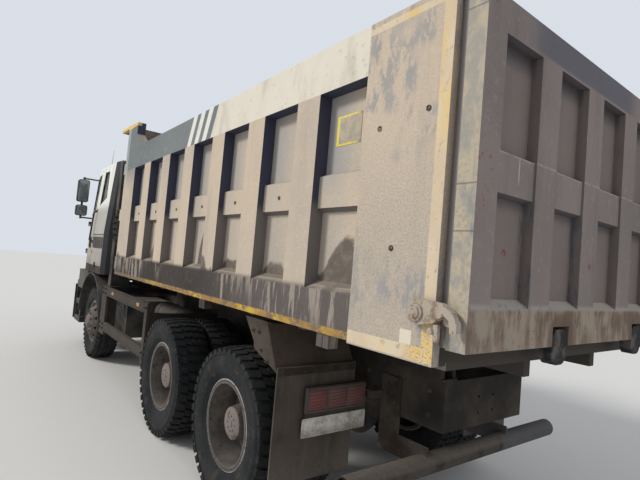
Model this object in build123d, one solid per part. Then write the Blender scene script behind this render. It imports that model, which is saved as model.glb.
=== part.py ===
"""Three-axle dump truck: cab over engine, square ribbed steel load bed, tailgate hung at its top edge.

The unit is the millimetre. X runs forward, Y to the left and Z up. The ground is at Z = 0, and the
origin lies on it under the middle of the truck's length and width.
"""

import math
import os

from build123d import *

os.makedirs("parts", exist_ok=True)

# Length along X
WHEELBASE = 3300
TANDEM_SPREAD = 1350
FRONT_OVERHANG = 1450
REAR_OVERHANG = 1880
OVERALL_LENGTH = REAR_OVERHANG + TANDEM_SPREAD + WHEELBASE + FRONT_OVERHANG
TAIL_X = -OVERALL_LENGTH / 2
REAR_AXLE_X = TAIL_X + REAR_OVERHANG
MID_AXLE_X = REAR_AXLE_X + TANDEM_SPREAD
FRONT_AXLE_X = MID_AXLE_X + WHEELBASE
NOSE_X = FRONT_AXLE_X + FRONT_OVERHANG

# Wheels: 12.5 inch wide tyres on 22.5 inch rims
TYRE_RADIUS = 530
TYRE_WIDTH = 308
TREAD_WIDTH = 250
RIM_SEAT_RADIUS = 286
RIM_WALL = 14
FLANGE_HEIGHT = 12
FLANGE_WALL = 12
BEAD_WIDTH = 214
WHEEL_Z = TYRE_RADIUS
FRONT_TRACK = 2022
DUAL_TRACK = 1824
DUAL_SPACING = 345
DISC_THICKNESS = 14
HAND_HOLES = 10
HAND_HOLE_RADIUS = 24
HAND_HOLE_CIRCLE = 233
FRONT_DISC_OFFSET = 160
HUB_RADIUS = 105
WHEEL_GAP = 0.3
DRUM_RADIUS = 205
SPINDLE_RADIUS = 45
BEARING_GAP = 0.4
KINGPIN_Y = 850
KINGPIN_RADIUS = 25
KNUCKLE_RADIUS = 46
KNUCKLE_PLATE_Y = KINGPIN_Y + 50
KNUCKLE_PLATE = 16

# Clearances
RUNNING_GAP = 5
PIN_GAP = 0.4

# Chassis
FRAME_WIDTH = 860
RAIL_HEIGHT = 300
RAIL_FLANGE = 90
RAIL_WALL = 10
RAIL_TOP = 1060
RAIL_REAR_X = REAR_AXLE_X - 1220
RAIL_FRONT_X = NOSE_X - 170
SUBFRAME_HEIGHT = 140
SUBFRAME_WIDTH = 70
RAIL_BOTTOM = RAIL_TOP - RAIL_HEIGHT
RAIL_OUT = FRAME_WIDTH / 2
RAIL_IN = RAIL_OUT - RAIL_FLANGE
SUBFRAME_TOP = RAIL_TOP + SUBFRAME_HEIGHT

# Load bed
BED_WIDTH = 2490
BED_REAR_X = REAR_AXLE_X - 1738
CAB_AND_HOIST_LENGTH = 2865
BED_FRONT_X = NOSE_X - CAB_AND_HOIST_LENGTH
BED_CLEARANCE = 138
BED_BOTTOM = SUBFRAME_TOP + BED_CLEARANCE
BED_HEIGHT = 1560
BED_TOP = BED_BOTTOM + BED_HEIGHT
PANEL_THICKNESS = 8
RIB_DEPTH = 87
FLOOR_TOP = BED_BOTTOM + 59
FLOOR_THICKNESS = 12
SIDE_OUT = BED_WIDTH / 2
PANEL_OUT = SIDE_OUT - RIB_DEPTH
PANEL_IN = PANEL_OUT - PANEL_THICKNESS
SILL_WIDTH = 60
SILL_Y = 390
TIP_PIN_X = REAR_AXLE_X - 1150
TIP_PIN_Z = SUBFRAME_TOP - 20
TIP_PIN_RADIUS = 25
TIP_ANGLE = 45

# Tailgate
GATE_WIDTH = 2470
GATE_BOTTOM = BED_BOTTOM + 67
GATE_TOP = BED_TOP - 68
GATE_IN_X = BED_REAR_X - RUNNING_GAP
GATE_PIN_X = BED_REAR_X + 80
GATE_PIN_Z = BED_TOP + 62
GATE_PIN_RADIUS = 15

# Front hoist
HOIST_SETTING = 430
HOIST_X = BED_FRONT_X + HOIST_SETTING
HOIST_BASE_Z = 960
HOIST_EYE_Z = BED_BOTTOM + 1062
HOIST_PIN_RADIUS = 22
HOIST_TUBE_LENGTH = 1330

# Cab
CAB_REAR_X = NOSE_X - 2060
CAB_FRONT_X = NOSE_X - 60
CAB_WIDTH = 2480
CAB_FLOOR_BOTTOM = RAIL_TOP + 210
CAB_NOSE_BOTTOM = RAIL_TOP + 20
CAB_NOSE_REAR_X = NOSE_X - 350
CAB_ROOF_REAR_Z = CAB_FLOOR_BOTTOM + 1660
CAB_ROOF_FRONT_Z = CAB_ROOF_REAR_Z + 100
CAB_WALL = 50
CAB_PIN_X = NOSE_X - 100
CAB_PIN_Z = RAIL_TOP - 50
CAB_PIN_RADIUS = 20
GLASS_DEPTH = 18
GLASS_THICKNESS = 8
DOOR_REAR_X = CAB_REAR_X + 760
DOOR_FRONT_X = NOSE_X - 390
DOOR_BOTTOM = CAB_FLOOR_BOTTOM + 115
DOOR_TOP = CAB_ROOF_REAR_Z - 100
DOOR_HINGE_Y = CAB_WIDTH / 2 - 128
ARCH_RADIUS = 712

AXIS = {"x": (1, 0, 0), "y": (0, 1, 0), "z": (0, 0, 1)}


def place(axis, along, first, second):
    """A point from its place along one axis and its places on the other two, in X, Y, Z order."""
    spots = {"x": (along, first, second), "y": (first, along, second), "z": (first, second, along)}
    return spots[axis]


def block(x, y, z):
    """A box between the two values given for each axis."""
    size = [far - near for near, far in (x, y, z)]
    centre = [(far + near) / 2 for near, far in (x, y, z)]
    return Pos(*centre) * Box(*size)


def slab(axis, points, start, end):
    """A straight-sided outline, drawn across one axis and pushed along it from start to end."""
    edge = Polyline(*[place(axis, start, a, b) for a, b in points], close=True)
    return extrude(make_face(edge), amount=end - start, dir=AXIS[axis])


def rod(axis, first, second, radius, start, end):
    """A round bar along one axis."""
    turn = {"x": (0, 90, 0), "y": (90, 0, 0), "z": (0, 0, 0)}[axis]
    return Pos(*place(axis, (start + end) / 2, first, second)) * Rot(*turn) * Cylinder(radius, end - start)


def bar(start, end, radius):
    """A round bar between two points."""
    run = Vector(*end) - Vector(*start)
    middle = (Vector(*start) + Vector(*end)) * 0.5
    return Plane(origin=middle, z_dir=run) * Cylinder(radius, run.length)


def turned(axle_x, profile):
    """A ring or disc turned about a wheel's axle, from points of Y and radius."""
    edge = Polyline(*[(axle_x, y, WHEEL_Z + radius) for y, radius in profile], close=True)
    return revolve(make_face(edge), Axis((axle_x, 0, WHEEL_Z), (0, 1, 0)), 360)


def other_side(shape):
    """The same shape on the right side of the truck."""
    return mirror(shape, about=Plane.XZ)


def both(shape):
    """A left piece and its right twin."""
    return [shape, other_side(shape)]


def save(node, *shapes):
    """Write the node's solids to one file."""
    solids = [solid for shape in shapes for solid in shape.solids()]
    export_step(solids[0] if len(solids) == 1 else Compound(solids), f"parts/{node}.step")


# Wheels and tyres

def tyre_section(centre_y):
    """Half the tyre's section mirrored, as points of Y and radius, from bead to tread."""
    half = [
        (BEAD_WIDTH / 2, RIM_SEAT_RADIUS),
        (BEAD_WIDTH / 2, RIM_SEAT_RADIUS + FLANGE_HEIGHT + 2),
        (TYRE_WIDTH / 2, RIM_SEAT_RADIUS + 0.45 * (TYRE_RADIUS - RIM_SEAT_RADIUS)),
        (TYRE_WIDTH / 2 - 6, TYRE_RADIUS - 42),
        (TREAD_WIDTH / 2, TYRE_RADIUS),
    ]
    return [(centre_y + y, r) for y, r in half] + [(centre_y - y, r) for y, r in reversed(half)]


def rim_ring(axle_x, centre_y):
    """The rolled rim: a flat seat between two flanges."""
    seat = BEAD_WIDTH / 2
    edge = seat + FLANGE_WALL
    bore = RIM_SEAT_RADIUS - RIM_WALL
    lip = RIM_SEAT_RADIUS + FLANGE_HEIGHT
    half = [(edge, bore), (edge, lip), (seat, lip), (seat, RIM_SEAT_RADIUS)]
    points = [(centre_y + y, r) for y, r in half] + [(centre_y - y, r) for y, r in reversed(half)]
    return turned(axle_x, points)


def wheel_disc(axle_x, face_y, out, gap, bore):
    """The pressed disc: flat where it bolts up, a gap from face_y, then flared to the rim; out is 1 or -1."""
    seam = RIM_SEAT_RADIUS - RIM_WALL + 2
    points = [
        (gap, bore), (DISC_THICKNESS, bore), (DISC_THICKNESS, 185), (75, seam), (55, seam), (gap, 192),
    ]
    return turned(axle_x, [(face_y + out * y, r) for y, r in points])


def hand_holes(axle_x, centre_y):
    """Round openings through the flared part of a disc, spaced evenly about the axle."""
    drill = rod("y", axle_x, WHEEL_Z + HAND_HOLE_CIRCLE, HAND_HOLE_RADIUS, centre_y - 90, centre_y + 90)
    axle = Axis((axle_x, 0, WHEEL_Z), (0, 1, 0))
    return [drill.rotate(axle, number * 360 / HAND_HOLES) for number in range(HAND_HOLES)]


def hub(axle_x, start, end, taper):
    """The hub from its inner end to its cap, whose last stretch narrows."""
    points = [
        (start, 0), (start, HUB_RADIUS), (end - taper, HUB_RADIUS), (end - 0.25 * taper, 0.76 * HUB_RADIUS),
        (end, 0.6 * HUB_RADIUS), (end, 0),
    ]
    return turned(axle_x, points)


def hub_bore(axle_x, start, end):
    """The bearing bore that runs on the spindle."""
    return rod("y", axle_x, WHEEL_Z, SPINDLE_RADIUS + BEARING_GAP, start, end)


DUAL_Y = DUAL_TRACK / 2
OUTER_Y = DUAL_Y + DUAL_SPACING / 2
INNER_Y = DUAL_Y - DUAL_SPACING / 2
DRUM_START_Y = DUAL_Y - 192
HUB_CAP_LENGTH = 215
HUB_CAP_TAPER = 52
SPINDLE_END_Y = DUAL_Y - 30


def rear_wheel_pair(axle_x):
    """Two wheels, disc to disc: the inner one with the hub and its brake drum, the outer one over the hub."""
    outer = rim_ring(axle_x, OUTER_Y) + wheel_disc(axle_x, DUAL_Y, 1, WHEEL_GAP, HUB_RADIUS + WHEEL_GAP)
    outer -= hand_holes(axle_x, DUAL_Y)
    inner = rim_ring(axle_x, INNER_Y) + wheel_disc(axle_x, DUAL_Y, -1, 0, HUB_RADIUS - 10)
    inner -= hand_holes(axle_x, DUAL_Y)
    inner += hub(axle_x, DRUM_START_Y, DUAL_Y + HUB_CAP_LENGTH, HUB_CAP_TAPER)
    inner += rod("y", axle_x, WHEEL_Z, DRUM_RADIUS, DRUM_START_Y, DUAL_Y - 28)
    inner -= hub_bore(axle_x, DRUM_START_Y - 1, SPINDLE_END_Y + RUNNING_GAP)
    return [inner, outer]


def rear_tyre_pair(axle_x):
    """The two tyres of one wheel pair."""
    return [turned(axle_x, tyre_section(y)) for y in (INNER_Y, OUTER_Y)]


for name, axle_x in (("mid", MID_AXLE_X), ("rear", REAR_AXLE_X)):
    wheels = rear_wheel_pair(axle_x)
    tyres = rear_tyre_pair(axle_x)
    save(f"{name}_wheels_left", *wheels)
    save(f"{name}_wheels_right", *[other_side(wheel) for wheel in wheels])
    save(f"{name}_tyres_left", *tyres)
    save(f"{name}_tyres_right", *[other_side(tyre) for tyre in tyres])

FRONT_Y = FRONT_TRACK / 2
FRONT_FACE_Y = FRONT_Y + FRONT_DISC_OFFSET
FRONT_DRUM_Y = KNUCKLE_PLATE_Y + KNUCKLE_PLATE + RUNNING_GAP
FRONT_CAP_LENGTH = 55
FRONT_SPINDLE_END_Y = FRONT_FACE_Y - 20

front_rim = rim_ring(FRONT_AXLE_X, FRONT_Y)
front_disc_points = [
    (0, HUB_RADIUS - 10), (DISC_THICKNESS, HUB_RADIUS - 10), (DISC_THICKNESS, 185),
    (-75, RIM_SEAT_RADIUS - RIM_WALL + 2), (-95, RIM_SEAT_RADIUS - RIM_WALL + 2), (0, 180),
]
front_rim += turned(FRONT_AXLE_X, [(FRONT_FACE_Y + y, r) for y, r in front_disc_points])
front_rim -= hand_holes(FRONT_AXLE_X, FRONT_FACE_Y - 50)
front_rim += hub(FRONT_AXLE_X, FRONT_DRUM_Y, FRONT_FACE_Y + FRONT_CAP_LENGTH, 0.6 * FRONT_CAP_LENGTH)
front_rim += rod("y", FRONT_AXLE_X, WHEEL_Z, DRUM_RADIUS, FRONT_DRUM_Y, FRONT_DRUM_Y + 150)
front_rim -= hub_bore(FRONT_AXLE_X, FRONT_DRUM_Y - 1, FRONT_SPINDLE_END_Y + RUNNING_GAP)
front_tyre = turned(FRONT_AXLE_X, tyre_section(FRONT_Y))
save("front_wheel_left", front_rim)
save("front_wheel_right", other_side(front_rim))
save("front_tyre_left", front_tyre)
save("front_tyre_right", other_side(front_tyre))

# Axles and steering knuckles

BEAM_HALF = 50
EYE_HALF = 45
FORK_LUG = 40
EYE_BOTTOM = WHEEL_Z - EYE_HALF
EYE_TOP = WHEEL_Z + EYE_HALF
BEAM_BOTTOM = WHEEL_Z - 110
BEAM_TOP = WHEEL_Z - 10

half_beam = [
    (KINGPIN_Y, EYE_BOTTOM), (KINGPIN_Y - 110, EYE_BOTTOM), (KINGPIN_Y - 210, BEAM_BOTTOM),
    (0, BEAM_BOTTOM), (0, BEAM_TOP), (KINGPIN_Y - 210, BEAM_TOP), (KINGPIN_Y - 110, EYE_TOP),
    (KINGPIN_Y, EYE_TOP),
]
left_beam = slab("x", half_beam, FRONT_AXLE_X - BEAM_HALF, FRONT_AXLE_X + BEAM_HALF)
left_beam -= rod("z", FRONT_AXLE_X, KINGPIN_Y, KNUCKLE_RADIUS + 40, EYE_BOTTOM - 1, EYE_TOP + 1)
left_beam += block(
    (FRONT_AXLE_X - 30, FRONT_AXLE_X + 30), (KINGPIN_Y - 90, KINGPIN_Y), (EYE_BOTTOM, EYE_TOP)
)
left_beam += rod("z", FRONT_AXLE_X, KINGPIN_Y, KNUCKLE_RADIUS, EYE_BOTTOM, EYE_TOP)
left_beam -= rod("z", FRONT_AXLE_X, KINGPIN_Y, KINGPIN_RADIUS + PIN_GAP, EYE_BOTTOM - 1, EYE_TOP + 1)
front_beam = left_beam + other_side(left_beam)

AXLE_TUBE = 70
BANJO_RADIUS = 200
NOSE_LENGTH = 420
NOSE_RISE = 40
NOSE_RADIUS = 105
MID_TAIL = 330
SPIDER_Y = DRUM_START_Y - RUNNING_GAP


def drive_axle(axle_x, tail_length):
    """Axle housing: a square tube, a round banjo in the middle, the pinion's nose and the spindles."""
    tube = (WHEEL_Z - AXLE_TUBE, WHEEL_Z + AXLE_TUBE)
    housing = block((axle_x - AXLE_TUBE, axle_x + AXLE_TUBE), (-SPIDER_Y, SPIDER_Y), tube)
    housing += rod("x", 0, WHEEL_Z, BANJO_RADIUS, axle_x - 130, axle_x + 130)
    housing += rod("x", 0, WHEEL_Z + NOSE_RISE, NOSE_RADIUS, axle_x, axle_x + NOSE_LENGTH)
    if tail_length:
        housing += rod("x", 0, WHEEL_Z + NOSE_RISE, 80, axle_x - tail_length, axle_x)
    for start, end in ((SPIDER_Y - 15, SPIDER_Y), (-SPIDER_Y, 15 - SPIDER_Y)):
        housing += rod("y", axle_x, WHEEL_Z, DRUM_RADIUS - 12, start, end)
    return housing + rod("y", axle_x, WHEEL_Z, SPINDLE_RADIUS, -SPINDLE_END_Y, SPINDLE_END_Y)


save("axles", front_beam, drive_axle(MID_AXLE_X, MID_TAIL), drive_axle(REAR_AXLE_X, 0))

FORK_BOTTOM = EYE_BOTTOM - PIN_GAP - FORK_LUG
FORK_TOP = EYE_TOP + PIN_GAP + FORK_LUG
plate_end = KNUCKLE_PLATE_Y + KNUCKLE_PLATE
knuckle = block(
    (FRONT_AXLE_X - KNUCKLE_RADIUS, FRONT_AXLE_X + KNUCKLE_RADIUS),
    (KNUCKLE_PLATE_Y, plate_end), (FORK_BOTTOM, FORK_TOP),
)
for lug in ((FORK_BOTTOM, EYE_BOTTOM - PIN_GAP), (EYE_TOP + PIN_GAP, FORK_TOP)):
    knuckle += rod("z", FRONT_AXLE_X, KINGPIN_Y, KNUCKLE_RADIUS, *lug)
    knuckle += block(
        (FRONT_AXLE_X - KNUCKLE_RADIUS, FRONT_AXLE_X + KNUCKLE_RADIUS), (KINGPIN_Y, plate_end), lug
    )
knuckle += rod("z", FRONT_AXLE_X, KINGPIN_Y, KINGPIN_RADIUS, FORK_BOTTOM, FORK_TOP)
knuckle += rod("y", FRONT_AXLE_X, WHEEL_Z, SPINDLE_RADIUS, plate_end - 1, FRONT_SPINDLE_END_Y)
save("knuckle_left", knuckle)
save("knuckle_right", other_side(knuckle))

# Springs: packs of flat leaves, longest below at the rear axles and longest above at the front

TANDEM_X = (MID_AXLE_X + REAR_AXLE_X) / 2
REAR_SPRING_Y = (RAIL_OUT + 25, RAIL_OUT + 115)
SPRING_SEAT_Z = WHEEL_Z + AXLE_TUBE
FRONT_SPRING_Y = (RAIL_OUT - 45, RAIL_OUT + 45)
FRONT_SPRING_HALF = 650
FRONT_SEAT_Z = BEAM_TOP
HANGER_HEIGHT = 80
TRUNNION_HALF = 130

REAR_LEAVES = 9
REAR_SPRING_HALF = TANDEM_SPREAD / 2 + 110
rear_leaf = (RAIL_BOTTOM - 15 - SPRING_SEAT_Z) / REAR_LEAVES
leaf_step = (REAR_SPRING_HALF - TRUNNION_HALF) / (REAR_LEAVES - 1)
rear_springs = None
for number in range(REAR_LEAVES):
    reach = REAR_SPRING_HALF - number * leaf_step
    leaf_z = (SPRING_SEAT_Z + number * rear_leaf, SPRING_SEAT_Z + (number + 1) * rear_leaf)
    leaf = block((TANDEM_X - reach, TANDEM_X + reach), REAR_SPRING_Y, leaf_z)
    rear_springs = leaf if rear_springs is None else rear_springs + leaf

FRONT_LEAVES = 7
FRONT_FLAT = 110
FRONT_SHORTEST = 130
FRONT_PACK = 95
front_leaf = FRONT_PACK / FRONT_LEAVES
leaf_end = RAIL_BOTTOM - HANGER_HEIGHT
leaf_slope = (leaf_end - FRONT_SEAT_Z - FRONT_PACK) / (FRONT_SPRING_HALF - FRONT_FLAT)
front_springs = None
for number in range(FRONT_LEAVES):
    reach = FRONT_SPRING_HALF - number * (FRONT_SPRING_HALF - FRONT_SHORTEST) / (FRONT_LEAVES - 1)
    leaf_top = FRONT_SEAT_Z + FRONT_PACK - number * front_leaf
    end_top = leaf_top + (reach - FRONT_FLAT) * leaf_slope
    upper = [(-reach, end_top), (-FRONT_FLAT, leaf_top), (FRONT_FLAT, leaf_top), (reach, end_top)]
    lower = [(x, z - front_leaf) for x, z in reversed(upper)]
    leaf = slab("y", [(FRONT_AXLE_X + x, z) for x, z in upper + lower], *FRONT_SPRING_Y)
    front_springs = leaf if front_springs is None else front_springs + leaf
save("leaf_springs", *both(rear_springs), *both(front_springs))

# Chassis frame: two channel rails, a subframe on them, cross members, hangers, brackets and pins

rail_section = [
    (RAIL_IN, RAIL_BOTTOM), (RAIL_OUT, RAIL_BOTTOM), (RAIL_OUT, RAIL_TOP), (RAIL_IN, RAIL_TOP),
    (RAIL_IN, RAIL_TOP - RAIL_WALL), (RAIL_OUT - RAIL_WALL, RAIL_TOP - RAIL_WALL),
    (RAIL_OUT - RAIL_WALL, RAIL_BOTTOM + RAIL_WALL), (RAIL_IN, RAIL_BOTTOM + RAIL_WALL),
]
SUBFRAME_IN = RAIL_OUT - SUBFRAME_WIDTH
SUBFRAME_FRONT_X = BED_FRONT_X - 40
WEB_IN = RAIL_OUT - RAIL_WALL
frame_side = slab("x", rail_section, RAIL_REAR_X, RAIL_FRONT_X)
TIP_LUG = 32
TIP_LUG_GAP = 8
sill_edges = (SILL_Y - SILL_WIDTH / 2, SILL_Y + SILL_WIDTH / 2)
TIP_LUG_Y = (
    (sill_edges[0] - TIP_LUG_GAP - TIP_LUG, sill_edges[0] - TIP_LUG_GAP),
    (sill_edges[1] + TIP_LUG_GAP, sill_edges[1] + TIP_LUG_GAP + TIP_LUG),
)
TIP_LUG_RADIUS = 48
SUBFRAME_REAR_X = TIP_PIN_X + 110
frame_side += block((SUBFRAME_REAR_X, SUBFRAME_FRONT_X), (SUBFRAME_IN, RAIL_OUT), (RAIL_TOP, SUBFRAME_TOP))
frame_side += block(
    (RAIL_REAR_X, SUBFRAME_REAR_X), (TIP_LUG_Y[0][0], TIP_LUG_Y[1][1]), (RAIL_TOP, RAIL_TOP + 15)
)
for lug in TIP_LUG_Y:
    foot = [
        (TIP_PIN_X - 60, RAIL_TOP), (SUBFRAME_REAR_X, RAIL_TOP), (SUBFRAME_REAR_X, RAIL_TOP + 60),
        (TIP_PIN_X + TIP_LUG_RADIUS, TIP_PIN_Z), (TIP_PIN_X - TIP_LUG_RADIUS, TIP_PIN_Z),
    ]
    frame_side += slab("y", foot, *lug)
    frame_side += rod("y", TIP_PIN_X, TIP_PIN_Z, TIP_LUG_RADIUS, *lug)
frame_side += rod("y", TIP_PIN_X, TIP_PIN_Z, TIP_PIN_RADIUS, TIP_LUG_Y[0][0], TIP_LUG_Y[1][1])
for end_x in (FRONT_AXLE_X - FRONT_SPRING_HALF, FRONT_AXLE_X + FRONT_SPRING_HALF):
    frame_side += block((end_x - 50, end_x + 50), FRONT_SPRING_Y, (leaf_end, RAIL_BOTTOM))
frame_side += block(
    (TANDEM_X - TRUNNION_HALF, TANDEM_X + TRUNNION_HALF), (WEB_IN, REAR_SPRING_Y[1]),
    (RAIL_BOTTOM - 15, RAIL_BOTTOM + 90),
)

CAB_LUG_Y = 400
CAB_LUG_HALF = 20
CAB_LUG_RADIUS = 38
CHASSIS_LUG = 16
horn_z = (CAB_PIN_Z - CAB_LUG_RADIUS, RAIL_TOP)
for side in (-1, 1):
    near = CAB_LUG_Y + side * (CAB_LUG_HALF + 3)
    far = CAB_LUG_Y + side * (CAB_LUG_HALF + 3 + CHASSIS_LUG)
    frame_side += block((RAIL_FRONT_X - 120, CAB_PIN_X), (min(near, far), max(near, far)), horn_z)
    frame_side += rod("y", CAB_PIN_X, CAB_PIN_Z, CAB_LUG_RADIUS, min(near, far), max(near, far))
lug_reach = CAB_LUG_HALF + 3 + CHASSIS_LUG
frame_side += rod("y", CAB_PIN_X, CAB_PIN_Z, CAB_PIN_RADIUS, CAB_LUG_Y - lug_reach, CAB_LUG_Y + lug_reach)
CAB_REST_X = CAB_REAR_X + 90
frame_side += block(
    (CAB_REST_X - 40, CAB_REST_X + 40), (RAIL_IN, RAIL_OUT), (RAIL_TOP, CAB_FLOOR_BOTTOM - RUNNING_GAP)
)

HOIST_LUG_Y = (38, 62)
CRADLE_X = (HOIST_X - 70, HOIST_X + 70)
CRADLE_Z = (HOIST_BASE_Z - 140, HOIST_BASE_Z - 60)
frame = frame_side + other_side(frame_side)
CROSS_WALL = 10
cross_spans = [
    (TANDEM_X - 60, TANDEM_X + 60), (MID_AXLE_X + 700, MID_AXLE_X + 780),
    (FRONT_AXLE_X + 1080, FRONT_AXLE_X + 1160),
]
for span in cross_spans:
    frame += block(span, (-WEB_IN, WEB_IN), (RAIL_TOP - 110, RAIL_TOP - RAIL_WALL))
frame += block((RAIL_REAR_X, RAIL_REAR_X + CROSS_WALL), (-WEB_IN, WEB_IN), (RAIL_BOTTOM, RAIL_TOP))
for start in (SUBFRAME_REAR_X + 40, TANDEM_X, MID_AXLE_X + 500, SUBFRAME_FRONT_X - 80):
    frame += block((start, start + 80), (-SUBFRAME_IN, SUBFRAME_IN), (RAIL_TOP + 20, SUBFRAME_TOP - 10))
frame += block(CRADLE_X, (-WEB_IN, WEB_IN), CRADLE_Z)
for side in (1, -1):
    span = (side * HOIST_LUG_Y[0], side * HOIST_LUG_Y[1])
    span = (min(span), max(span))
    frame += block((HOIST_X - 45, HOIST_X + 45), span, (CRADLE_Z[1], HOIST_BASE_Z))
    frame += rod("y", HOIST_X, HOIST_BASE_Z, 45, *span)
frame += rod("y", HOIST_X, HOIST_BASE_Z, HOIST_PIN_RADIUS, -HOIST_LUG_Y[1], HOIST_LUG_Y[1])

COUPLING_SPACING_Y = 160
COUPLING_SPACING_Z = 100
COUPLING_HOLE = 10.5
COUPLING_Z = RAIL_BOTTOM + 130
for y in (-COUPLING_SPACING_Y / 2, COUPLING_SPACING_Y / 2):
    for z in (COUPLING_Z - COUPLING_SPACING_Z / 2, COUPLING_Z + COUPLING_SPACING_Z / 2):
        frame -= rod("x", y, z, COUPLING_HOLE, RAIL_REAR_X - 1, RAIL_REAR_X + CROSS_WALL + 1)
save("chassis_frame", frame)

# Engine with gearbox, radiator and shafts

ENGINE_X = (FRONT_AXLE_X - 410, FRONT_AXLE_X + 880)
GEARBOX_REAR_X = HOIST_X - 170
engine = block(ENGINE_X, (10 - RAIL_IN, RAIL_IN - 10), (600, RAIL_TOP + 10))
engine += block(ENGINE_X, (-380, 380), (RAIL_TOP + RUNNING_GAP, 1400))
engine += block((GEARBOX_REAR_X, ENGINE_X[0]), (-210, 210), (580, CRADLE_Z[0] - 10))
engine += block((ENGINE_X[1], ENGINE_X[1] + 80), (10 - RAIL_IN, RAIL_IN - 10), (620, 1230))
save("engine", engine)

SHAFT_RADIUS = 55
nose_z = WHEEL_Z + NOSE_RISE
shaft_runs = [
    ((GEARBOX_REAR_X, 700), (MID_AXLE_X + NOSE_LENGTH, nose_z)),
    ((MID_AXLE_X - MID_TAIL, nose_z), (REAR_AXLE_X + NOSE_LENGTH, nose_z)),
]
shafts = []
for (front_x, front_z), (back_x, back_z) in shaft_runs:
    slope = (front_z - back_z) / (front_x - back_x) * 100
    shaft = bar((back_x - 100, 0, back_z - slope), (front_x + 100, 0, front_z + slope), SHAFT_RADIUS)
    shafts.append(shaft & block((back_x, front_x), (-100, 100), (0, 2000)))
save("propeller_shafts", *shafts)

# Load bed sides: panel, ribs, beams, rear plate, front post and the lugs for the tailgate's pins

RAIL_LEDGE = BED_BOTTOM + 219
RAIL_LEDGE_RISE = 45
MID_BEAM = (BED_BOTTOM + 663, BED_BOTTOM + 841)
MID_BEAM_DEPTH = 45
TOP_BEAM_BOTTOM = BED_TOP - 259
REAR_PLATE_LENGTH = 508
REAR_PLATE_DROP = 12
RIB_WIDTH = 220
BAY_WIDTH = 385
BAYS = 7
POST_RISE = 328
POST_TOP = BED_TOP + POST_RISE
POST_REAR_X = BED_REAR_X + REAR_PLATE_LENGTH + BAYS * BAY_WIDTH + (BAYS - 1) * RIB_WIDTH
POST_STEP_Z = POST_TOP - POST_RISE / 2

panel = (PANEL_IN, PANEL_OUT)
rib = (PANEL_OUT, SIDE_OUT)
bed_span = (BED_REAR_X, BED_FRONT_X)
side = block(bed_span, panel, (BED_BOTTOM, BED_TOP))
low_rail = [
    (PANEL_OUT, BED_BOTTOM), (SIDE_OUT, BED_BOTTOM), (SIDE_OUT, RAIL_LEDGE),
    (PANEL_OUT, RAIL_LEDGE + RAIL_LEDGE_RISE),
]
side += slab("x", low_rail, *bed_span)
mid_beam = [
    (PANEL_OUT, MID_BEAM[0] - 20), (SIDE_OUT - MID_BEAM_DEPTH, MID_BEAM[0]),
    (SIDE_OUT - MID_BEAM_DEPTH, MID_BEAM[1]), (PANEL_OUT, MID_BEAM[1] + 20),
]
side += slab("x", mid_beam, *bed_span)
side += block(bed_span, rib, (TOP_BEAM_BOTTOM, BED_TOP))
for number in range(1, BAYS):
    rib_x = BED_REAR_X + REAR_PLATE_LENGTH + number * BAY_WIDTH + (number - 1) * RIB_WIDTH
    side += block((rib_x, rib_x + RIB_WIDTH), rib, (BED_BOTTOM, BED_TOP))
side += block((BED_REAR_X, BED_REAR_X + REAR_PLATE_LENGTH), rib, (BED_BOTTOM - REAR_PLATE_DROP, BED_TOP))
side += block((POST_REAR_X, BED_FRONT_X), rib, (BED_BOTTOM, BED_TOP))
post_head = [
    (POST_REAR_X, BED_TOP), (BED_FRONT_X, BED_TOP), (BED_FRONT_X, POST_TOP),
    (POST_REAR_X + 70, POST_TOP - 20), (POST_REAR_X + 70, POST_STEP_Z), (POST_REAR_X - 180, BED_TOP),
]
side += slab("y", post_head, PANEL_IN, SIDE_OUT)

STOP_LENGTH = 100
STOP_DROP = 74
STOP_SPLIT = 6
for stop_x in (BED_REAR_X + 660, BED_REAR_X + 2210):
    stop_end = stop_x + STOP_LENGTH
    side += block((stop_x, stop_end), (PANEL_OUT + 10, SIDE_OUT - 12), (BED_BOTTOM - STOP_DROP, BED_BOTTOM))
    middle = (stop_x + stop_end) / 2
    split = (middle - STOP_SPLIT / 2, middle + STOP_SPLIT / 2)
    side -= block(split, (SIDE_OUT - 30, SIDE_OUT), (BED_BOTTOM - STOP_DROP - 1, BED_BOTTOM - 12))

GATE_EAR_Y = (PANEL_IN + 35, PANEL_IN + 60)
GATE_LUG = 18
GATE_LUG_RADIUS = 38
lug_spans = [
    (GATE_EAR_Y[0] - 3 - GATE_LUG, GATE_EAR_Y[0] - 3), (GATE_EAR_Y[1] + 3, GATE_EAR_Y[1] + 3 + GATE_LUG)
]
for span in lug_spans:
    side += block((GATE_PIN_X - 48, GATE_PIN_X + 60), span, (BED_TOP, GATE_PIN_Z))
    side += rod("y", GATE_PIN_X, GATE_PIN_Z, GATE_LUG_RADIUS, *span)
side += rod("y", GATE_PIN_X, GATE_PIN_Z, GATE_PIN_RADIUS, lug_spans[0][0], lug_spans[1][1])
save("bed_side_left", side)
save("bed_side_right", other_side(side))

# Load bed front: bulkhead with three beams, canopy over the gap and the hoist's bracket

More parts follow.
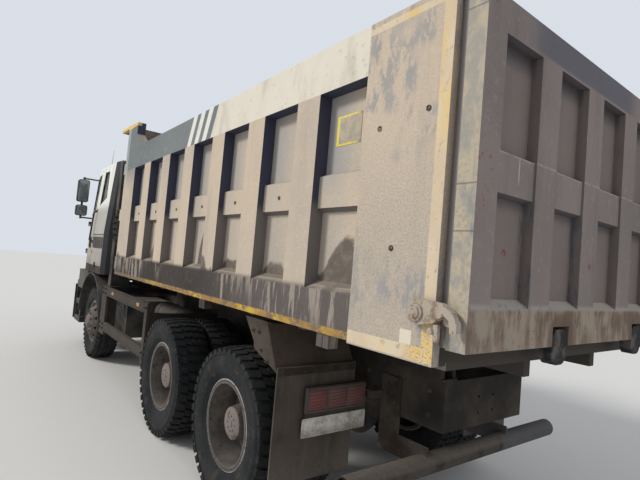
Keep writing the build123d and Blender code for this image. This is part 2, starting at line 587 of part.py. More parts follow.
BULKHEAD = 12
CANOPY_REACH = 350
CANOPY_THICKNESS = 36
BEAM_DEPTH = 55
HOIST_ARM_Y = (62, 86)
HOIST_EYE_RADIUS = 45
HOIST_SPACE = 130
FLOOR_BOTTOM = FLOOR_TOP - FLOOR_THICKNESS
front = block((BED_FRONT_X - BULKHEAD, BED_FRONT_X), (-PANEL_IN, PANEL_IN), (FLOOR_BOTTOM, POST_TOP))
for beam_z in ((2010, 2150), (2600, 2740)):
    front += block((BED_FRONT_X, BED_FRONT_X + BEAM_DEPTH), (-SIDE_OUT, SIDE_OUT), beam_z)
for beam_y in ((-SIDE_OUT, -HOIST_SPACE), (HOIST_SPACE, SIDE_OUT)):
    front += block((BED_FRONT_X, BED_FRONT_X + BEAM_DEPTH), beam_y, (BED_BOTTOM + 60, BED_BOTTOM + 220))
for post_y in (-900, -500, 500, 900):
    post = (post_y - 60, post_y + 60)
    front += block((BED_FRONT_X, BED_FRONT_X + BEAM_DEPTH), post, (BED_BOTTOM + 60, POST_TOP - 40))
canopy = [
    (BED_FRONT_X, POST_TOP - CANOPY_THICKNESS), (BED_FRONT_X + CANOPY_REACH, POST_TOP - CANOPY_THICKNESS),
    (BED_FRONT_X + CANOPY_REACH, POST_TOP), (BED_FRONT_X, POST_TOP),
]
front += slab("y", canopy, -SIDE_OUT, SIDE_OUT)
arm = [
    (BED_FRONT_X, HOIST_EYE_Z - 330), (HOIST_X + 20, HOIST_EYE_Z - 40), (HOIST_X + 45, HOIST_EYE_Z),
    (HOIST_X + 20, HOIST_EYE_Z + 40), (BED_FRONT_X, HOIST_EYE_Z + 130),
]
for side_sign in (1, -1):
    span = sorted((side_sign * HOIST_ARM_Y[0], side_sign * HOIST_ARM_Y[1]))
    front += slab("y", arm, *span)
front += rod("y", HOIST_X, HOIST_EYE_Z, HOIST_PIN_RADIUS, -HOIST_ARM_Y[1], HOIST_ARM_Y[1])
save("bed_front", front)

# Load bed floor: plate, two sills, cross bearers and the tipping hinge

BEARER_Z = FLOOR_BOTTOM - 80
SILL_BOTTOM = SUBFRAME_TOP + RUNNING_GAP
BEARER_WIDTH = 70
floor = block((BED_REAR_X, BED_FRONT_X - BULKHEAD), (-PANEL_IN, PANEL_IN), (FLOOR_BOTTOM, FLOOR_TOP))
for centre in (SILL_Y, -SILL_Y):
    sill = (centre - SILL_WIDTH / 2, centre + SILL_WIDTH / 2)
    floor += block((BED_REAR_X + 60, BED_FRONT_X - 60), sill, (SILL_BOTTOM, FLOOR_BOTTOM))
    hanger = (TIP_PIN_X - TIP_LUG_RADIUS, TIP_PIN_X + TIP_LUG_RADIUS)
    floor += block(hanger, sill, (TIP_PIN_Z, SILL_BOTTOM))
    floor += rod("y", TIP_PIN_X, TIP_PIN_Z, TIP_LUG_RADIUS, *sill)
    floor -= rod("y", TIP_PIN_X, TIP_PIN_Z, TIP_PIN_RADIUS + PIN_GAP, sill[0] - 1, sill[1] + 1)
for number in range(BAYS + 1):
    bearer_x = BED_REAR_X + REAR_PLATE_LENGTH - RIB_WIDTH / 2 - 30 + number * (BAY_WIDTH + RIB_WIDTH)
    floor += block((bearer_x, bearer_x + BEARER_WIDTH), (-PANEL_IN, PANEL_IN), (BEARER_Z, FLOOR_BOTTOM))
floor += block((BED_REAR_X, BED_REAR_X + 120), (-PANEL_IN, PANEL_IN), (BEARER_Z, FLOOR_BOTTOM))
save("bed_floor", floor)

# Tailgate: double skin, five shallow bays between ribs, three beams, ears at the top and the lower locking pins

GATE_BAY_DEPTH = 50
GATE_MID_BACK = 10
GATE_POST = 143
GATE_RIB = 180
GATE_BAYS = 5
GATE_BAY = (GATE_WIDTH - 2 * GATE_POST - (GATE_BAYS - 1) * GATE_RIB) / GATE_BAYS
GATE_LEDGE = GATE_BOTTOM + 171
GATE_MID = (GATE_BOTTOM + 637, GATE_BOTTOM + 807)
GATE_TOP_BEAM = 144
gate_half = GATE_WIDTH / 2
gate_rib = (TAIL_X, TAIL_X + GATE_BAY_DEPTH)
gate = block((gate_rib[1], GATE_IN_X), (-gate_half, gate_half), (GATE_BOTTOM, GATE_TOP))
gate_low = [
    (gate_rib[1], GATE_BOTTOM), (TAIL_X, GATE_BOTTOM), (TAIL_X, GATE_LEDGE), (gate_rib[1], GATE_LEDGE + 34)
]
gate += slab("y", gate_low, -gate_half, gate_half)
mid_x = TAIL_X + GATE_MID_BACK
gate_mid = [
    (gate_rib[1], GATE_MID[0] - 12), (mid_x, GATE_MID[0]),
    (mid_x, GATE_MID[1]), (gate_rib[1], GATE_MID[1] + 12),
]
gate += slab("y", gate_mid, -gate_half, gate_half)
gate += block(gate_rib, (-gate_half, gate_half), (GATE_TOP - GATE_TOP_BEAM, GATE_TOP))
for number in range(GATE_BAYS - 1):
    rib_y = -gate_half + GATE_POST + GATE_BAY + number * (GATE_BAY + GATE_RIB)
    gate += block(gate_rib, (rib_y, rib_y + GATE_RIB), (GATE_BOTTOM, GATE_TOP))
for span in ((-gate_half, GATE_POST - gate_half), (gate_half - GATE_POST, gate_half)):
    gate += block(gate_rib, span, (GATE_BOTTOM, GATE_TOP))
GATE_STEP = (47, 30)
for span in ((-gate_half, GATE_STEP[1] - gate_half), (gate_half - GATE_STEP[1], gate_half)):
    gate -= block((GATE_IN_X - GATE_STEP[0], GATE_IN_X), span, (GATE_BOTTOM, GATE_TOP))
ear = [
    (TAIL_X + 10, GATE_TOP), (GATE_IN_X, GATE_TOP), (GATE_IN_X, BED_TOP + 8),
    (GATE_PIN_X - 20, BED_TOP + 26), (GATE_PIN_X, GATE_PIN_Z), (GATE_PIN_X - 10, GATE_PIN_Z + 36),
    (TAIL_X + 60, GATE_TOP + 70),
]
CLAW_Y = 485
CLAW_HALF = 72
CLAW_DEPTH = 62
CLAW_Z = (GATE_BOTTOM - 89, GATE_BOTTOM + 77)
for hand in (1, -1):
    claw_y = hand * CLAW_Y
    pocket = (claw_y - CLAW_HALF - 8, claw_y + CLAW_HALF + 8)
    gate -= block((TAIL_X - 1, TAIL_X + CLAW_DEPTH), pocket, (GATE_BOTTOM - 1, CLAW_Z[1] + 14))
LOCK_PIN_X = GATE_IN_X - 66
LOCK_PIN_Z = GATE_BOTTOM + 113
LOCK_PIN_RADIUS = 18
LOCK_PIN_LENGTH = 15
for hand in (1, -1):
    span = sorted((hand * GATE_EAR_Y[0], hand * GATE_EAR_Y[1]))
    gate += slab("y", ear, *span)
    gate += rod("y", GATE_PIN_X, GATE_PIN_Z, 36, *span)
    gate -= rod("y", GATE_PIN_X, GATE_PIN_Z, GATE_PIN_RADIUS + PIN_GAP, span[0] - 1, span[1] + 1)
    pin = sorted((hand * (gate_half - 30), hand * (gate_half + LOCK_PIN_LENGTH)))
    gate += rod("y", LOCK_PIN_X, LOCK_PIN_Z, LOCK_PIN_RADIUS, *pin)
save("tailgate", gate)

claw = block((TAIL_X + 4, TAIL_X + CLAW_DEPTH), (CLAW_Y - CLAW_HALF, CLAW_Y + CLAW_HALF), CLAW_Z)
claw = fillet(claw.edges().filter_by(Axis.X), 52)
save("tailgate_claws", *both(claw))

# Lock hooks on the bed's rear plates

HOOK_Y = (gate_half + LOCK_PIN_LENGTH + 7, gate_half + LOCK_PIN_LENGTH + 37)
HOOK_PIVOT_X = BED_REAR_X + 62
HOOK_PIVOT_Z = BED_BOTTOM + 197
hook_outline = [
    (HOOK_PIVOT_X + 44, HOOK_PIVOT_Z - 30), (HOOK_PIVOT_X + 44, HOOK_PIVOT_Z + 40),
    (HOOK_PIVOT_X, HOOK_PIVOT_Z + 58), (LOCK_PIN_X + 10, LOCK_PIN_Z + 66),
    (LOCK_PIN_X - 40, LOCK_PIN_Z + 36), (LOCK_PIN_X - 62, LOCK_PIN_Z - 4), (LOCK_PIN_X - 62, LOCK_PIN_Z - 36),
    (LOCK_PIN_X - 34, LOCK_PIN_Z - 40), (LOCK_PIN_X - 26, LOCK_PIN_Z + 6), (LOCK_PIN_X, LOCK_PIN_Z + 22),
    (LOCK_PIN_X + 26, LOCK_PIN_Z + 2), (LOCK_PIN_X + 48, LOCK_PIN_Z - 14), (HOOK_PIVOT_X, HOOK_PIVOT_Z - 50),
]
hook = slab("y", hook_outline, *HOOK_Y)
hook += rod("y", HOOK_PIVOT_X, HOOK_PIVOT_Z, 28, SIDE_OUT, HOOK_Y[1] + 6)
save("lock_hooks", *both(hook))

# Hoist: outer tube and three stages, nested at rest

STAGE_RADII = (100, 85, 70, 55)
STAGE_STEP = 22
BEARING_TILT = 40
hoist_bottom = HOIST_BASE_Z + 60
tube_tops = [HOIST_EYE_Z - 60 - STAGE_STEP * steps for steps in (3, 2, 1, 0)]
for number, (radius, top) in enumerate(zip(STAGE_RADII, tube_tops)):
    low = hoist_bottom + number * 12
    stage = rod("z", HOIST_X, 0, radius, low, top)
    if number < len(STAGE_RADII) - 1:
        bore = STAGE_RADII[number + 1] + PIN_GAP
        stage -= rod("z", HOIST_X, 0, bore, low + 12 - PIN_GAP, top + 1)
    if number == 0:
        foot = (3 - HOIST_LUG_Y[0], HOIST_LUG_Y[0] - 3)
        stage += rod("y", HOIST_X, HOIST_BASE_Z, 42, *foot)
        stage += block((HOIST_X - 30, HOIST_X + 30), foot, (HOIST_BASE_Z, low))
        stage -= rod("y", HOIST_X, HOIST_BASE_Z, HOIST_PIN_RADIUS + PIN_GAP, -100, 100)
        save("hoist_tube", stage)
    elif number < len(STAGE_RADII) - 1:
        save(f"hoist_stage_{number}", stage)
    else:
        eye = HOIST_ARM_Y[0] - 4
        stage += block((HOIST_X - 30, HOIST_X + 30), (-eye, eye), (top - 1, HOIST_EYE_Z))
        stage += rod("y", HOIST_X, HOIST_EYE_Z, HOIST_EYE_RADIUS, -eye, eye)
        stage -= rod("y", HOIST_X, HOIST_EYE_Z, HOIST_PIN_RADIUS + PIN_GAP, -100, 100)
        mouth = [(HOIST_X, HOIST_EYE_Z)]
        for turn in (-100, -50, 0, 50, 100):
            angle = math.radians(180 - BEARING_TILT + turn)
            reach = 2 * HOIST_EYE_RADIUS
            mouth.append((HOIST_X + reach * math.cos(angle), HOIST_EYE_Z + reach * math.sin(angle)))
        stage -= slab("y", mouth, -eye - 1, eye + 1)
        save(f"hoist_stage_{number}", stage)

# Cab form: plan outlines at the belt and the roof, cut by the side view and by the roof's crown

BELT_Z = CAB_FLOOR_BOTTOM + 580
ROOF_Z = CAB_ROOF_FRONT_Z + 30
CAB_HALF = CAB_WIDTH / 2


def closed_outline(half):
    """A half outline, from back to front at positive Y, closed with its mirror image."""
    return half + [(x, -y) for x, y in reversed(half)]


def inset(points, distance):
    """Move every edge of an outline inwards by the same distance."""
    area = sum(a[0] * b[1] - b[0] * a[1] for a, b in zip(points, points[1:] + points[:1]))
    turn = math.copysign(1, area)
    result = []
    for before, here, after in zip(points[-1:] + points[:-1], points, points[1:] + points[:1]):
        first = (Vector(*here) - Vector(*before)).normalized()
        second = (Vector(*after) - Vector(*here)).normalized()
        normal = Vector(-first.Y - second.Y, first.X + second.X) * turn
        reach = distance * 2 / normal.length ** 2
        result.append((here[0] + normal.X * reach, here[1] + normal.Y * reach))
    return result


belt_outline = closed_outline([
    (CAB_REAR_X, CAB_HALF - 60), (CAB_REAR_X + 45, CAB_HALF - 4), (NOSE_X - 1090, CAB_HALF),
    (NOSE_X - 690, CAB_HALF - 68), (NOSE_X - 300, CAB_HALF - 144), (NOSE_X - 150, CAB_HALF - 200),
    (NOSE_X - 80, CAB_HALF - 310), (CAB_FRONT_X, CAB_HALF - 600),
])
roof_outline = closed_outline([
    (CAB_REAR_X, CAB_HALF - 140), (CAB_REAR_X + 45, CAB_HALF - 90), (NOSE_X - 1090, CAB_HALF - 86),
    (NOSE_X - 690, CAB_HALF - 152), (NOSE_X - 450, CAB_HALF - 210), (NOSE_X - 380, CAB_HALF - 265),
    (NOSE_X - 330, CAB_HALF - 370), (NOSE_X - 305, CAB_HALF - 640),
])
side_view = [
    (CAB_REAR_X - 100, CAB_FLOOR_BOTTOM), (CAB_NOSE_REAR_X, CAB_FLOOR_BOTTOM),
    (CAB_NOSE_REAR_X, CAB_NOSE_BOTTOM), (CAB_FRONT_X + 100, CAB_NOSE_BOTTOM),
    (CAB_FRONT_X + 100, CAB_ROOF_FRONT_Z - 230), (NOSE_X - 400, CAB_ROOF_FRONT_Z),
    (CAB_REAR_X + 60, CAB_ROOF_REAR_Z), (CAB_REAR_X - 100, CAB_ROOF_REAR_Z - 90),
]
crown_half = [
    (CAB_WIDTH, 0), (CAB_WIDTH, CAB_ROOF_FRONT_Z - 880), (CAB_HALF - 110, CAB_ROOF_FRONT_Z - 130),
    (CAB_HALF - 340, CAB_ROOF_FRONT_Z - 45),
]
crown = crown_half + [(0, CAB_ROOF_FRONT_Z + 10)] + [(-y, z) for y, z in reversed(crown_half)]


def level(points, z):
    """An outline drawn level at a height."""
    return make_face(Polyline(*[(x, y, z) for x, y in points], close=True))


def cab_form(depth):
    """The cab's outer form, set in by a depth below its surface."""
    belt = inset(belt_outline, depth)
    roof = inset(roof_outline, depth)
    form = slab("z", belt, 0, BELT_Z) + loft([level(belt, BELT_Z), level(roof, ROOF_Z)], ruled=True)
    form &= slab("y", inset(side_view, depth), -CAB_WIDTH, CAB_WIDTH)
    return form & slab("x", inset(crown, depth), CAB_REAR_X - 500, NOSE_X + 500)


cab_outside = cab_form(0)
cab_inside = cab_form(CAB_WALL)
cab_shell = cab_outside - cab_inside
glass_shell = cab_form(GLASS_DEPTH) - cab_form(GLASS_DEPTH + GLASS_THICKNESS)

# Cab panels: the shell split where the pressed panels meet

DOOR_SLOPE_Z = DOOR_BOTTOM + 765
DOOR_SLOPE = 160
door_outline = [
    (DOOR_REAR_X, DOOR_BOTTOM), (DOOR_FRONT_X, DOOR_BOTTOM), (DOOR_FRONT_X, DOOR_SLOPE_Z),
    (DOOR_FRONT_X - DOOR_SLOPE, DOOR_TOP), (DOOR_REAR_X, DOOR_TOP),
]
gap_outline = inset(door_outline, -RUNNING_GAP)
everywhere = (-CAB_WIDTH, CAB_WIDTH)
panel_back_x = CAB_REAR_X + CAB_WALL
roof_seam = gap_outline[3][1]
floor_seam = gap_outline[0][1]
front_region = slab("y", [
    (CAB_NOSE_REAR_X, 0), (CAB_NOSE_REAR_X, floor_seam), gap_outline[1], gap_outline[2], gap_outline[3],
    (NOSE_X + 500, roof_seam), (NOSE_X + 500, 0),
], *everywhere)
back_region = block((CAB_REAR_X - 500, panel_back_x), everywhere, (0, roof_seam))
floor_region = block((panel_back_x, CAB_NOSE_REAR_X), everywhere, (0, floor_seam))
side_region = block((panel_back_x, gap_outline[0][0]), everywhere, (floor_seam, roof_seam))
roof_region = block((CAB_REAR_X - 500, NOSE_X + 500), everywhere, (roof_seam, ROOF_Z + 100))

screen_half = (CAB_HALF - 280, CAB_HALF - 350)
SCREEN = [
    (-screen_half[0], 2190), (screen_half[0], 2190), (screen_half[1], 2790), (-screen_half[1], 2790)
]
REAR_WINDOW = [(-450, 2280), (450, 2280), (450, 2640), (-450, 2640)]
quarter_window = [
    (CAB_REAR_X + 591, 2289), (CAB_REAR_X + 575, 2780), (CAB_REAR_X + 359, 2770), (CAB_REAR_X + 270, 2382)
]
door_window = [
    (DOOR_REAR_X + 75, 2215), (DOOR_FRONT_X - 75, 2185), (DOOR_FRONT_X - 70, 2260),
    (DOOR_FRONT_X - 215, DOOR_TOP - 70), (DOOR_REAR_X + 75, DOOR_TOP - 60),
]
screen_hole = slab("x", SCREEN, CAB_FRONT_X - 500, NOSE_X)
rear_hole = slab("x", REAR_WINDOW, CAB_REAR_X - 100, panel_back_x + 50)
quarter_hole = slab("y", quarter_window, *everywhere)
door_window_hole = slab("y", door_window, 0, CAB_WIDTH)

TUNNEL_IN = 385
TUNNEL_TOP = 1450
tunnel_front_x = gap_outline[1][0]
tunnel_out = TUNNEL_IN + CAB_WALL
tunnel = block(
    (panel_back_x, tunnel_front_x), (-tunnel_out, tunnel_out), (CAB_FLOOR_BOTTOM, TUNNEL_TOP + CAB_WALL)
)
tunnel_space = block((CAB_REAR_X, tunnel_front_x - CAB_WALL), (-TUNNEL_IN, TUNNEL_IN), (0, TUNNEL_TOP))
cab_floor = (cab_shell & floor_region) + tunnel - tunnel_space
save("cab_floor", cab_floor)
save("cab_back", (cab_shell & back_region) - rear_hole)
save("cab_sides", (cab_shell & side_region) - quarter_hole)
save("cab_roof", cab_shell & roof_region)

VISOR_REACH = 130
VISOR_SHEET = 12
VISOR_HALF = CAB_HALF - 310
visor_z = (DOOR_TOP - 12, DOOR_TOP + 130)
visor_region = block((NOSE_X - 250, NOSE_X), (-VISOR_HALF, VISOR_HALF), visor_z)
visor = (cab_form(-VISOR_REACH) - cab_form(VISOR_SHEET - VISOR_REACH)) & visor_region
for visor_y in (-VISOR_HALF, -10, VISOR_HALF - 20):
    arm_region = block((NOSE_X - 310, NOSE_X), (visor_y, visor_y + 20), (visor_z[0] + 50, visor_z[1] - 20))
    visor += (cab_form(VISOR_SHEET / 2 - VISOR_REACH) - cab_outside) & arm_region
save("sun_visor", visor)

GRILLE_Y = CAB_HALF - 540
GRILLE_Z = (1170, 1720)
GRILLE_DEPTH = 30
cab_front = (cab_shell & front_region) - screen_hole
cab_front -= block((CAB_FRONT_X - GRILLE_DEPTH, NOSE_X), (-GRILLE_Y, GRILLE_Y), GRILLE_Z)
for hand in (1, -1):
    lug = sorted((hand * (CAB_LUG_Y - CAB_LUG_HALF), hand * (CAB_LUG_Y + CAB_LUG_HALF)))
    lug_x = (CAB_PIN_X - CAB_LUG_RADIUS, CAB_PIN_X + CAB_LUG_RADIUS)
    cab_front += block(lug_x, lug, (CAB_PIN_Z, CAB_NOSE_BOTTOM + 10))
    cab_front += rod("y", CAB_PIN_X, CAB_PIN_Z, CAB_LUG_RADIUS, *lug)
    cab_front -= rod("y", CAB_PIN_X, CAB_PIN_Z, CAB_PIN_RADIUS + PIN_GAP, lug[0] - 1, lug[1] + 1)

HINGE_X = DOOR_FRONT_X + 2
HINGE_Y = DOOR_HINGE_Y + 18
HINGE_RADIUS = 14
HINGE_PIN_RADIUS = 6
HINGE_HEIGHT = 40
HINGE_LEVELS = (1560, 2020)
door = (cab_shell & slab("y", door_outline, 0, CAB_WIDTH)) - door_window_hole
pillar_hinges = []
for hinge_z in HINGE_LEVELS:
    upper = (hinge_z, hinge_z + HINGE_HEIGHT)
    lower = (hinge_z - HINGE_HEIGHT, hinge_z - PIN_GAP)
    leaf_y = (HINGE_Y - 50, HINGE_Y + 5)
    hinge = block((HINGE_X + 5, HINGE_X + 45), leaf_y, upper) - cab_outside
    hinge += block((HINGE_X, HINGE_X + 6), (HINGE_Y - 10, HINGE_Y + 5), upper)
    hinge += rod("z", HINGE_X, HINGE_Y, HINGE_RADIUS, *upper)
    hinge += rod("z", HINGE_X, HINGE_Y, HINGE_PIN_RADIUS, lower[0], upper[0])
    cab_front += hinge
    leaf = block((HINGE_X - 60, HINGE_X), leaf_y, lower) - cab_outside
    door += leaf + rod("z", HINGE_X, HINGE_Y, HINGE_RADIUS, *lower)
    door -= rod("z", HINGE_X, HINGE_Y, HINGE_PIN_RADIUS + PIN_GAP, lower[0] - 1, lower[1] + 1)
    right_hinge = other_side(hinge)
    cab_front += right_hinge
save("cab_front", cab_front)
save("door_left", door)
save("door_right", other_side(door))
door_glass = glass_shell & door_window_hole
save("door_glass_left", door_glass)
save("door_glass_right", other_side(door_glass))
save(
    "cab_glass",
    (glass_shell & front_region) & screen_hole, (glass_shell & back_region) & rear_hole,
    (glass_shell & side_region) & quarter_hole,
)

# Grille, dashboard with its column, steering wheel and seats

SLATS = 6
SLAT_HEIGHT = 46
grille_x = (CAB_FRONT_X - GRILLE_DEPTH, CAB_FRONT_X + 12)
grille = block(grille_x, (-GRILLE_Y, GRILLE_Y), GRILLE_Z)
bay_height = (GRILLE_Z[1] - GRILLE_Z[0] - SLAT_HEIGHT) / SLATS
for number in range(SLATS):
    slot_bottom = GRILLE_Z[0] + SLAT_HEIGHT + number * bay_height
    slot_z = (slot_bottom, slot_bottom + bay_height - SLAT_HEIGHT)
    for slot_y in ((-GRILLE_Y + 40, -20), (20, GRILLE_Y - 40)):
        grille -= block((grille_x[0] + 8, grille_x[1] + 1), slot_y, slot_z)
save("grille", grille)

DASH_BOTTOM = 1500
DASH_REAR_X = NOSE_X - 540
dash_section = [
    (CAB_FRONT_X, DASH_BOTTOM), (CAB_FRONT_X, 2100), (DASH_REAR_X + 150, 2110), (DASH_REAR_X + 20, 2060),
    (DASH_REAR_X, 1900), (DASH_REAR_X + 110, 1700), (DASH_REAR_X + 170, DASH_BOTTOM),
]
dash = slab("y", dash_section, -1000, 1000) & cab_inside
STEER_TILT = 60
DRIVER_Y = CAB_HALF - 540
STEER_CENTRE = (DASH_REAR_X - 110, DRIVER_Y, 2070)
STEER_RADIUS = 225
steer_axis = (-math.cos(math.radians(STEER_TILT)), 0, math.sin(math.radians(STEER_TILT)))


def along_column(distance):
    """A point on the steering column's axis, measured up from the wheel's centre."""
    return tuple(c + distance * a for c, a in zip(STEER_CENTRE, steer_axis))


dash += bar(along_column(-420), along_column(-40), 32)
dash += bar(along_column(-60), along_column(-4), 13)
save("dashboard", dash)
wheel_plane = Plane(origin=STEER_CENTRE, z_dir=steer_axis, x_dir=(0, 1, 0))
steering = wheel_plane * Torus(STEER_RADIUS, 15)
steering += bar(along_column(-35), along_column(22), 52)
for angle in (0, 120, 240):
    steering += wheel_plane * Rot(0, 0, angle) * Pos(STEER_RADIUS / 2, 0, 0) * Box(STEER_RADIUS, 34, 14)
steering -= bar(along_column(-70), along_column(-3), 13 + PIN_GAP)
save("steering_wheel", steering)

SEAT_WIDTH = 480
SEAT_FRONT_X = DOOR_REAR_X + 260
cab_floor_top = CAB_FLOOR_BOTTOM + CAB_WALL
seat_section = [
    (SEAT_FRONT_X - 90, cab_floor_top), (SEAT_FRONT_X - 40, 1600),
    (SEAT_FRONT_X, 1640), (SEAT_FRONT_X - 10, 1730),
    (SEAT_FRONT_X - 440, 1710), (SEAT_FRONT_X - 560, 2450), (SEAT_FRONT_X - 680, 2440),
    (SEAT_FRONT_X - 600, 1640), (SEAT_FRONT_X - 480, 1600), (SEAT_FRONT_X - 440, cab_floor_top),
]
seat = slab("y", seat_section, DRIVER_Y - SEAT_WIDTH / 2, DRIVER_Y + SEAT_WIDTH / 2)
save("seats", *both(seat))

# Mirrors on arms from the windscreen pillars

MIRROR_Y = (CAB_HALF - 60, CAB_HALF + 115)
MIRROR_X = (DOOR_FRONT_X + 40, DOOR_FRONT_X + 115)
MAIN_MIRROR_Z = (DOOR_TOP - 445, DOOR_TOP - 65)
WIDE_MIRROR_Z = (DOOR_TOP - 680, DOOR_TOP - 500)
ARM_RADIUS = 13
ARM_LEVELS = (DOOR_TOP - 710, DOOR_TOP - 40)
ARM_ROOTS = (CAB_HALF - 290, CAB_HALF - 340)
mirror_mid = ((MIRROR_X[0] + MIRROR_X[1]) / 2, (MIRROR_Y[0] + MIRROR_Y[1]) / 2)
mirror_arm = bar((mirror_mid[0], ARM_ROOTS[1], ARM_LEVELS[1]), (*mirror_mid, ARM_LEVELS[1]), ARM_RADIUS)
mirror_arm += bar((mirror_mid[0], ARM_ROOTS[0], ARM_LEVELS[0]), (*mirror_mid, ARM_LEVELS[0]), ARM_RADIUS)
mirror_arm -= cab_outside
mirror_arm += rod("z", *mirror_mid, ARM_RADIUS + 4, ARM_LEVELS[0] - 20, ARM_LEVELS[1] + 20)
for housing_z in (MAIN_MIRROR_Z, WIDE_MIRROR_Z):
    housing = block(MIRROR_X, MIRROR_Y, housing_z)
    mirror_arm += fillet(housing.edges().filter_by(Axis.X), 35)
save("mirrors", *both(mirror_arm))

# Front bumper with its lamps let in, and the rear lamps

BUMPER_TOP = CAB_NOSE_BOTTOM - 95
BUMPER_BOTTOM = 420
BUMPER_WALL = 55
LAMP_Z = (690, 880)
LAMP_Y = (CAB_HALF - 500, CAB_HALF - 180)
bumper_curve = [(NOSE_X - 130, CAB_HALF - 80), (NOSE_X - 40, CAB_HALF - 210), (NOSE_X, CAB_HALF - 440)]
bumper_outline = closed_outline([(NOSE_X - 280, CAB_HALF - 25)] + bumper_curve)
hollow_outline = inset(closed_outline([(NOSE_X - 580, CAB_HALF + 85)] + bumper_curve), BUMPER_WALL)
bumper = slab("z", bumper_outline, BUMPER_BOTTOM, BUMPER_TOP)
bumper -= slab("z", hollow_outline, BUMPER_BOTTOM - 1, BUMPER_TOP + 1)
lamp_spaces = both(block((NOSE_X - 300, NOSE_X + 10), LAMP_Y, LAMP_Z))
headlamps = [bumper & space for space in lamp_spaces]
for space in lamp_spaces:
    bumper -= space
bumper -= block((NOSE_X - 100, NOSE_X + 10), (-420, 420), (520, 640))
for hand in (1, -1):
    span = sorted((hand * RAIL_IN, hand * RAIL_OUT))
    bumper += block((RAIL_FRONT_X, NOSE_X - BUMPER_WALL + 5), span, (RAIL_BOTTOM + 20, RAIL_BOTTOM + 130))
save("front_bumper", bumper)

LAMP_BRACKET_X = REAR_AXLE_X - 672
TAIL_LAMP_Y = (545, 1028)
TAIL_LAMP_Z = (790, 939)
tail_lamp = block((LAMP_BRACKET_X - 68, LAMP_BRACKET_X), TAIL_LAMP_Y, TAIL_LAMP_Z)
save("lamps", *headlamps, *both(tail_lamp))

# Steps below the doors, joined to the front fenders

FENDER_SHEET = 18
FENDER_Y = (CAB_HALF - 380, CAB_HALF - 15)
FENDER_TUBE = (672, 290)
STEP_X = (FRONT_AXLE_X + 650, NOSE_X - 290)
STEP_Y = (CAB_HALF - 410, CAB_HALF - 50)
TREAD_DEPTH = 180
fender_ring = rod("y", FRONT_AXLE_X, WHEEL_Z, ARCH_RADIUS + FENDER_SHEET, *FENDER_Y)
fender_ring -= rod("y", FRONT_AXLE_X, WHEEL_Z, ARCH_RADIUS, FENDER_Y[0] - 1, FENDER_Y[1] + 1)
fender_ring &= block((0, STEP_X[0] + 100), (0, 2000), (600, 2000))
step_outline = [
    (FRONT_AXLE_X + 380, 1255), (CAB_NOSE_REAR_X - 12, 1255), (CAB_NOSE_REAR_X - 12, CAB_NOSE_BOTTOM - 18),
    (STEP_X[1], CAB_NOSE_BOTTOM - 18), (STEP_X[1], 400), (FRONT_AXLE_X + 690, 400),
]
steps = slab("y", step_outline, *STEP_Y) - rod("y", FRONT_AXLE_X, WHEEL_Z, ARCH_RADIUS, 0, 2000)
for tread_z in (470, 745):
    tread_y = (STEP_Y[1] - TREAD_DEPTH, STEP_Y[1] + 110)
    steps -= block((STEP_X[0] + 130, STEP_X[1] - 40), tread_y, (tread_z, tread_z + 205))
steps += fender_ring
steps += block((STEP_X[0] + 150, STEP_X[0] + 230), (RAIL_OUT, STEP_Y[0]), (RAIL_TOP - 120, RAIL_TOP - 40))
steps += rod("y", FRONT_AXLE_X - FENDER_TUBE[0], WHEEL_Z + FENDER_TUBE[1], 20, RAIL_OUT, FENDER_Y[0] + 10)
save("steps_and_fenders", *both(steps))

# Tanks and boxes hung from the rails

SIDE_GEAR_Y = RAIL_OUT + 130


def rounded_box(x, y, z, radius):
    """A sheet metal box with its long edges rounded."""
    shape = block(x, y, z)
    return fillet(shape.edges().filter_by(Axis.X), radius)


def carrier(x, z):
    """A bracket from the left rail out to the tanks."""
    return block((x - 35, x + 35), (RAIL_OUT, SIDE_GEAR_Y), z)


TANK_OUT = 1150
STRAP = 5
STRAP_WIDTH = 70
BRACKET_Z = (640, 900)
tank_x = (MID_AXLE_X + 1010, NOSE_X - 2540)
tank_z = (470, RAIL_TOP)
fuel_tank = rounded_box(tank_x, (SIDE_GEAR_Y, TANK_OUT), tank_z, 90)
for x in (tank_x[0] + 200, tank_x[1] - 200):
    fuel_tank += carrier(x, BRACKET_Z)
    strap_x = (x - STRAP_WIDTH / 2, x + STRAP_WIDTH / 2)
    strap_z = (tank_z[0] - STRAP, tank_z[1] + STRAP)
    fuel_tank += rounded_box(strap_x, (SIDE_GEAR_Y - STRAP, TANK_OUT + STRAP), strap_z, 90 + STRAP)
fuel_tank += rod("z", tank_x[1] - 90, TANK_OUT - 200, 58, tank_z[1] - 10, tank_z[1] + 38)
save("fuel_tank", other_side(fuel_tank))

box_x = (NOSE_X - 3040, NOSE_X - 2500)
box_z = (560, 1010)
BOX_OUT = 1090
LID = 8
LID_HEIGHT = 60
battery_box = block(box_x, (SIDE_GEAR_Y, BOX_OUT), box_z) + carrier(sum(box_x) / 2, BRACKET_Z)
battery_box += block(
    (box_x[0] - LID, box_x[1] + LID), (SIDE_GEAR_Y, BOX_OUT + LID), (box_z[1] - LID_HEIGHT, box_z[1] + LID)
)
AIR_TANK_RADIUS = 132
AIR_TANK_DOME = 60
AIR_TANK_Z = (650, 915)
AIR_TANK_REAR = 170
air_y = SIDE_GEAR_Y + 130
air_x = (MID_AXLE_X + TYRE_RADIUS + AIR_TANK_REAR, NOSE_X - 3200)
air_tanks = None
for z in AIR_TANK_Z:
    air_tank = rod("x", air_y, z, AIR_TANK_RADIUS, *air_x)
    air_tank = fillet(air_tank.edges().filter_by(GeomType.CIRCLE), AIR_TANK_DOME)
    air_tanks = air_tank if air_tanks is None else air_tanks + air_tank
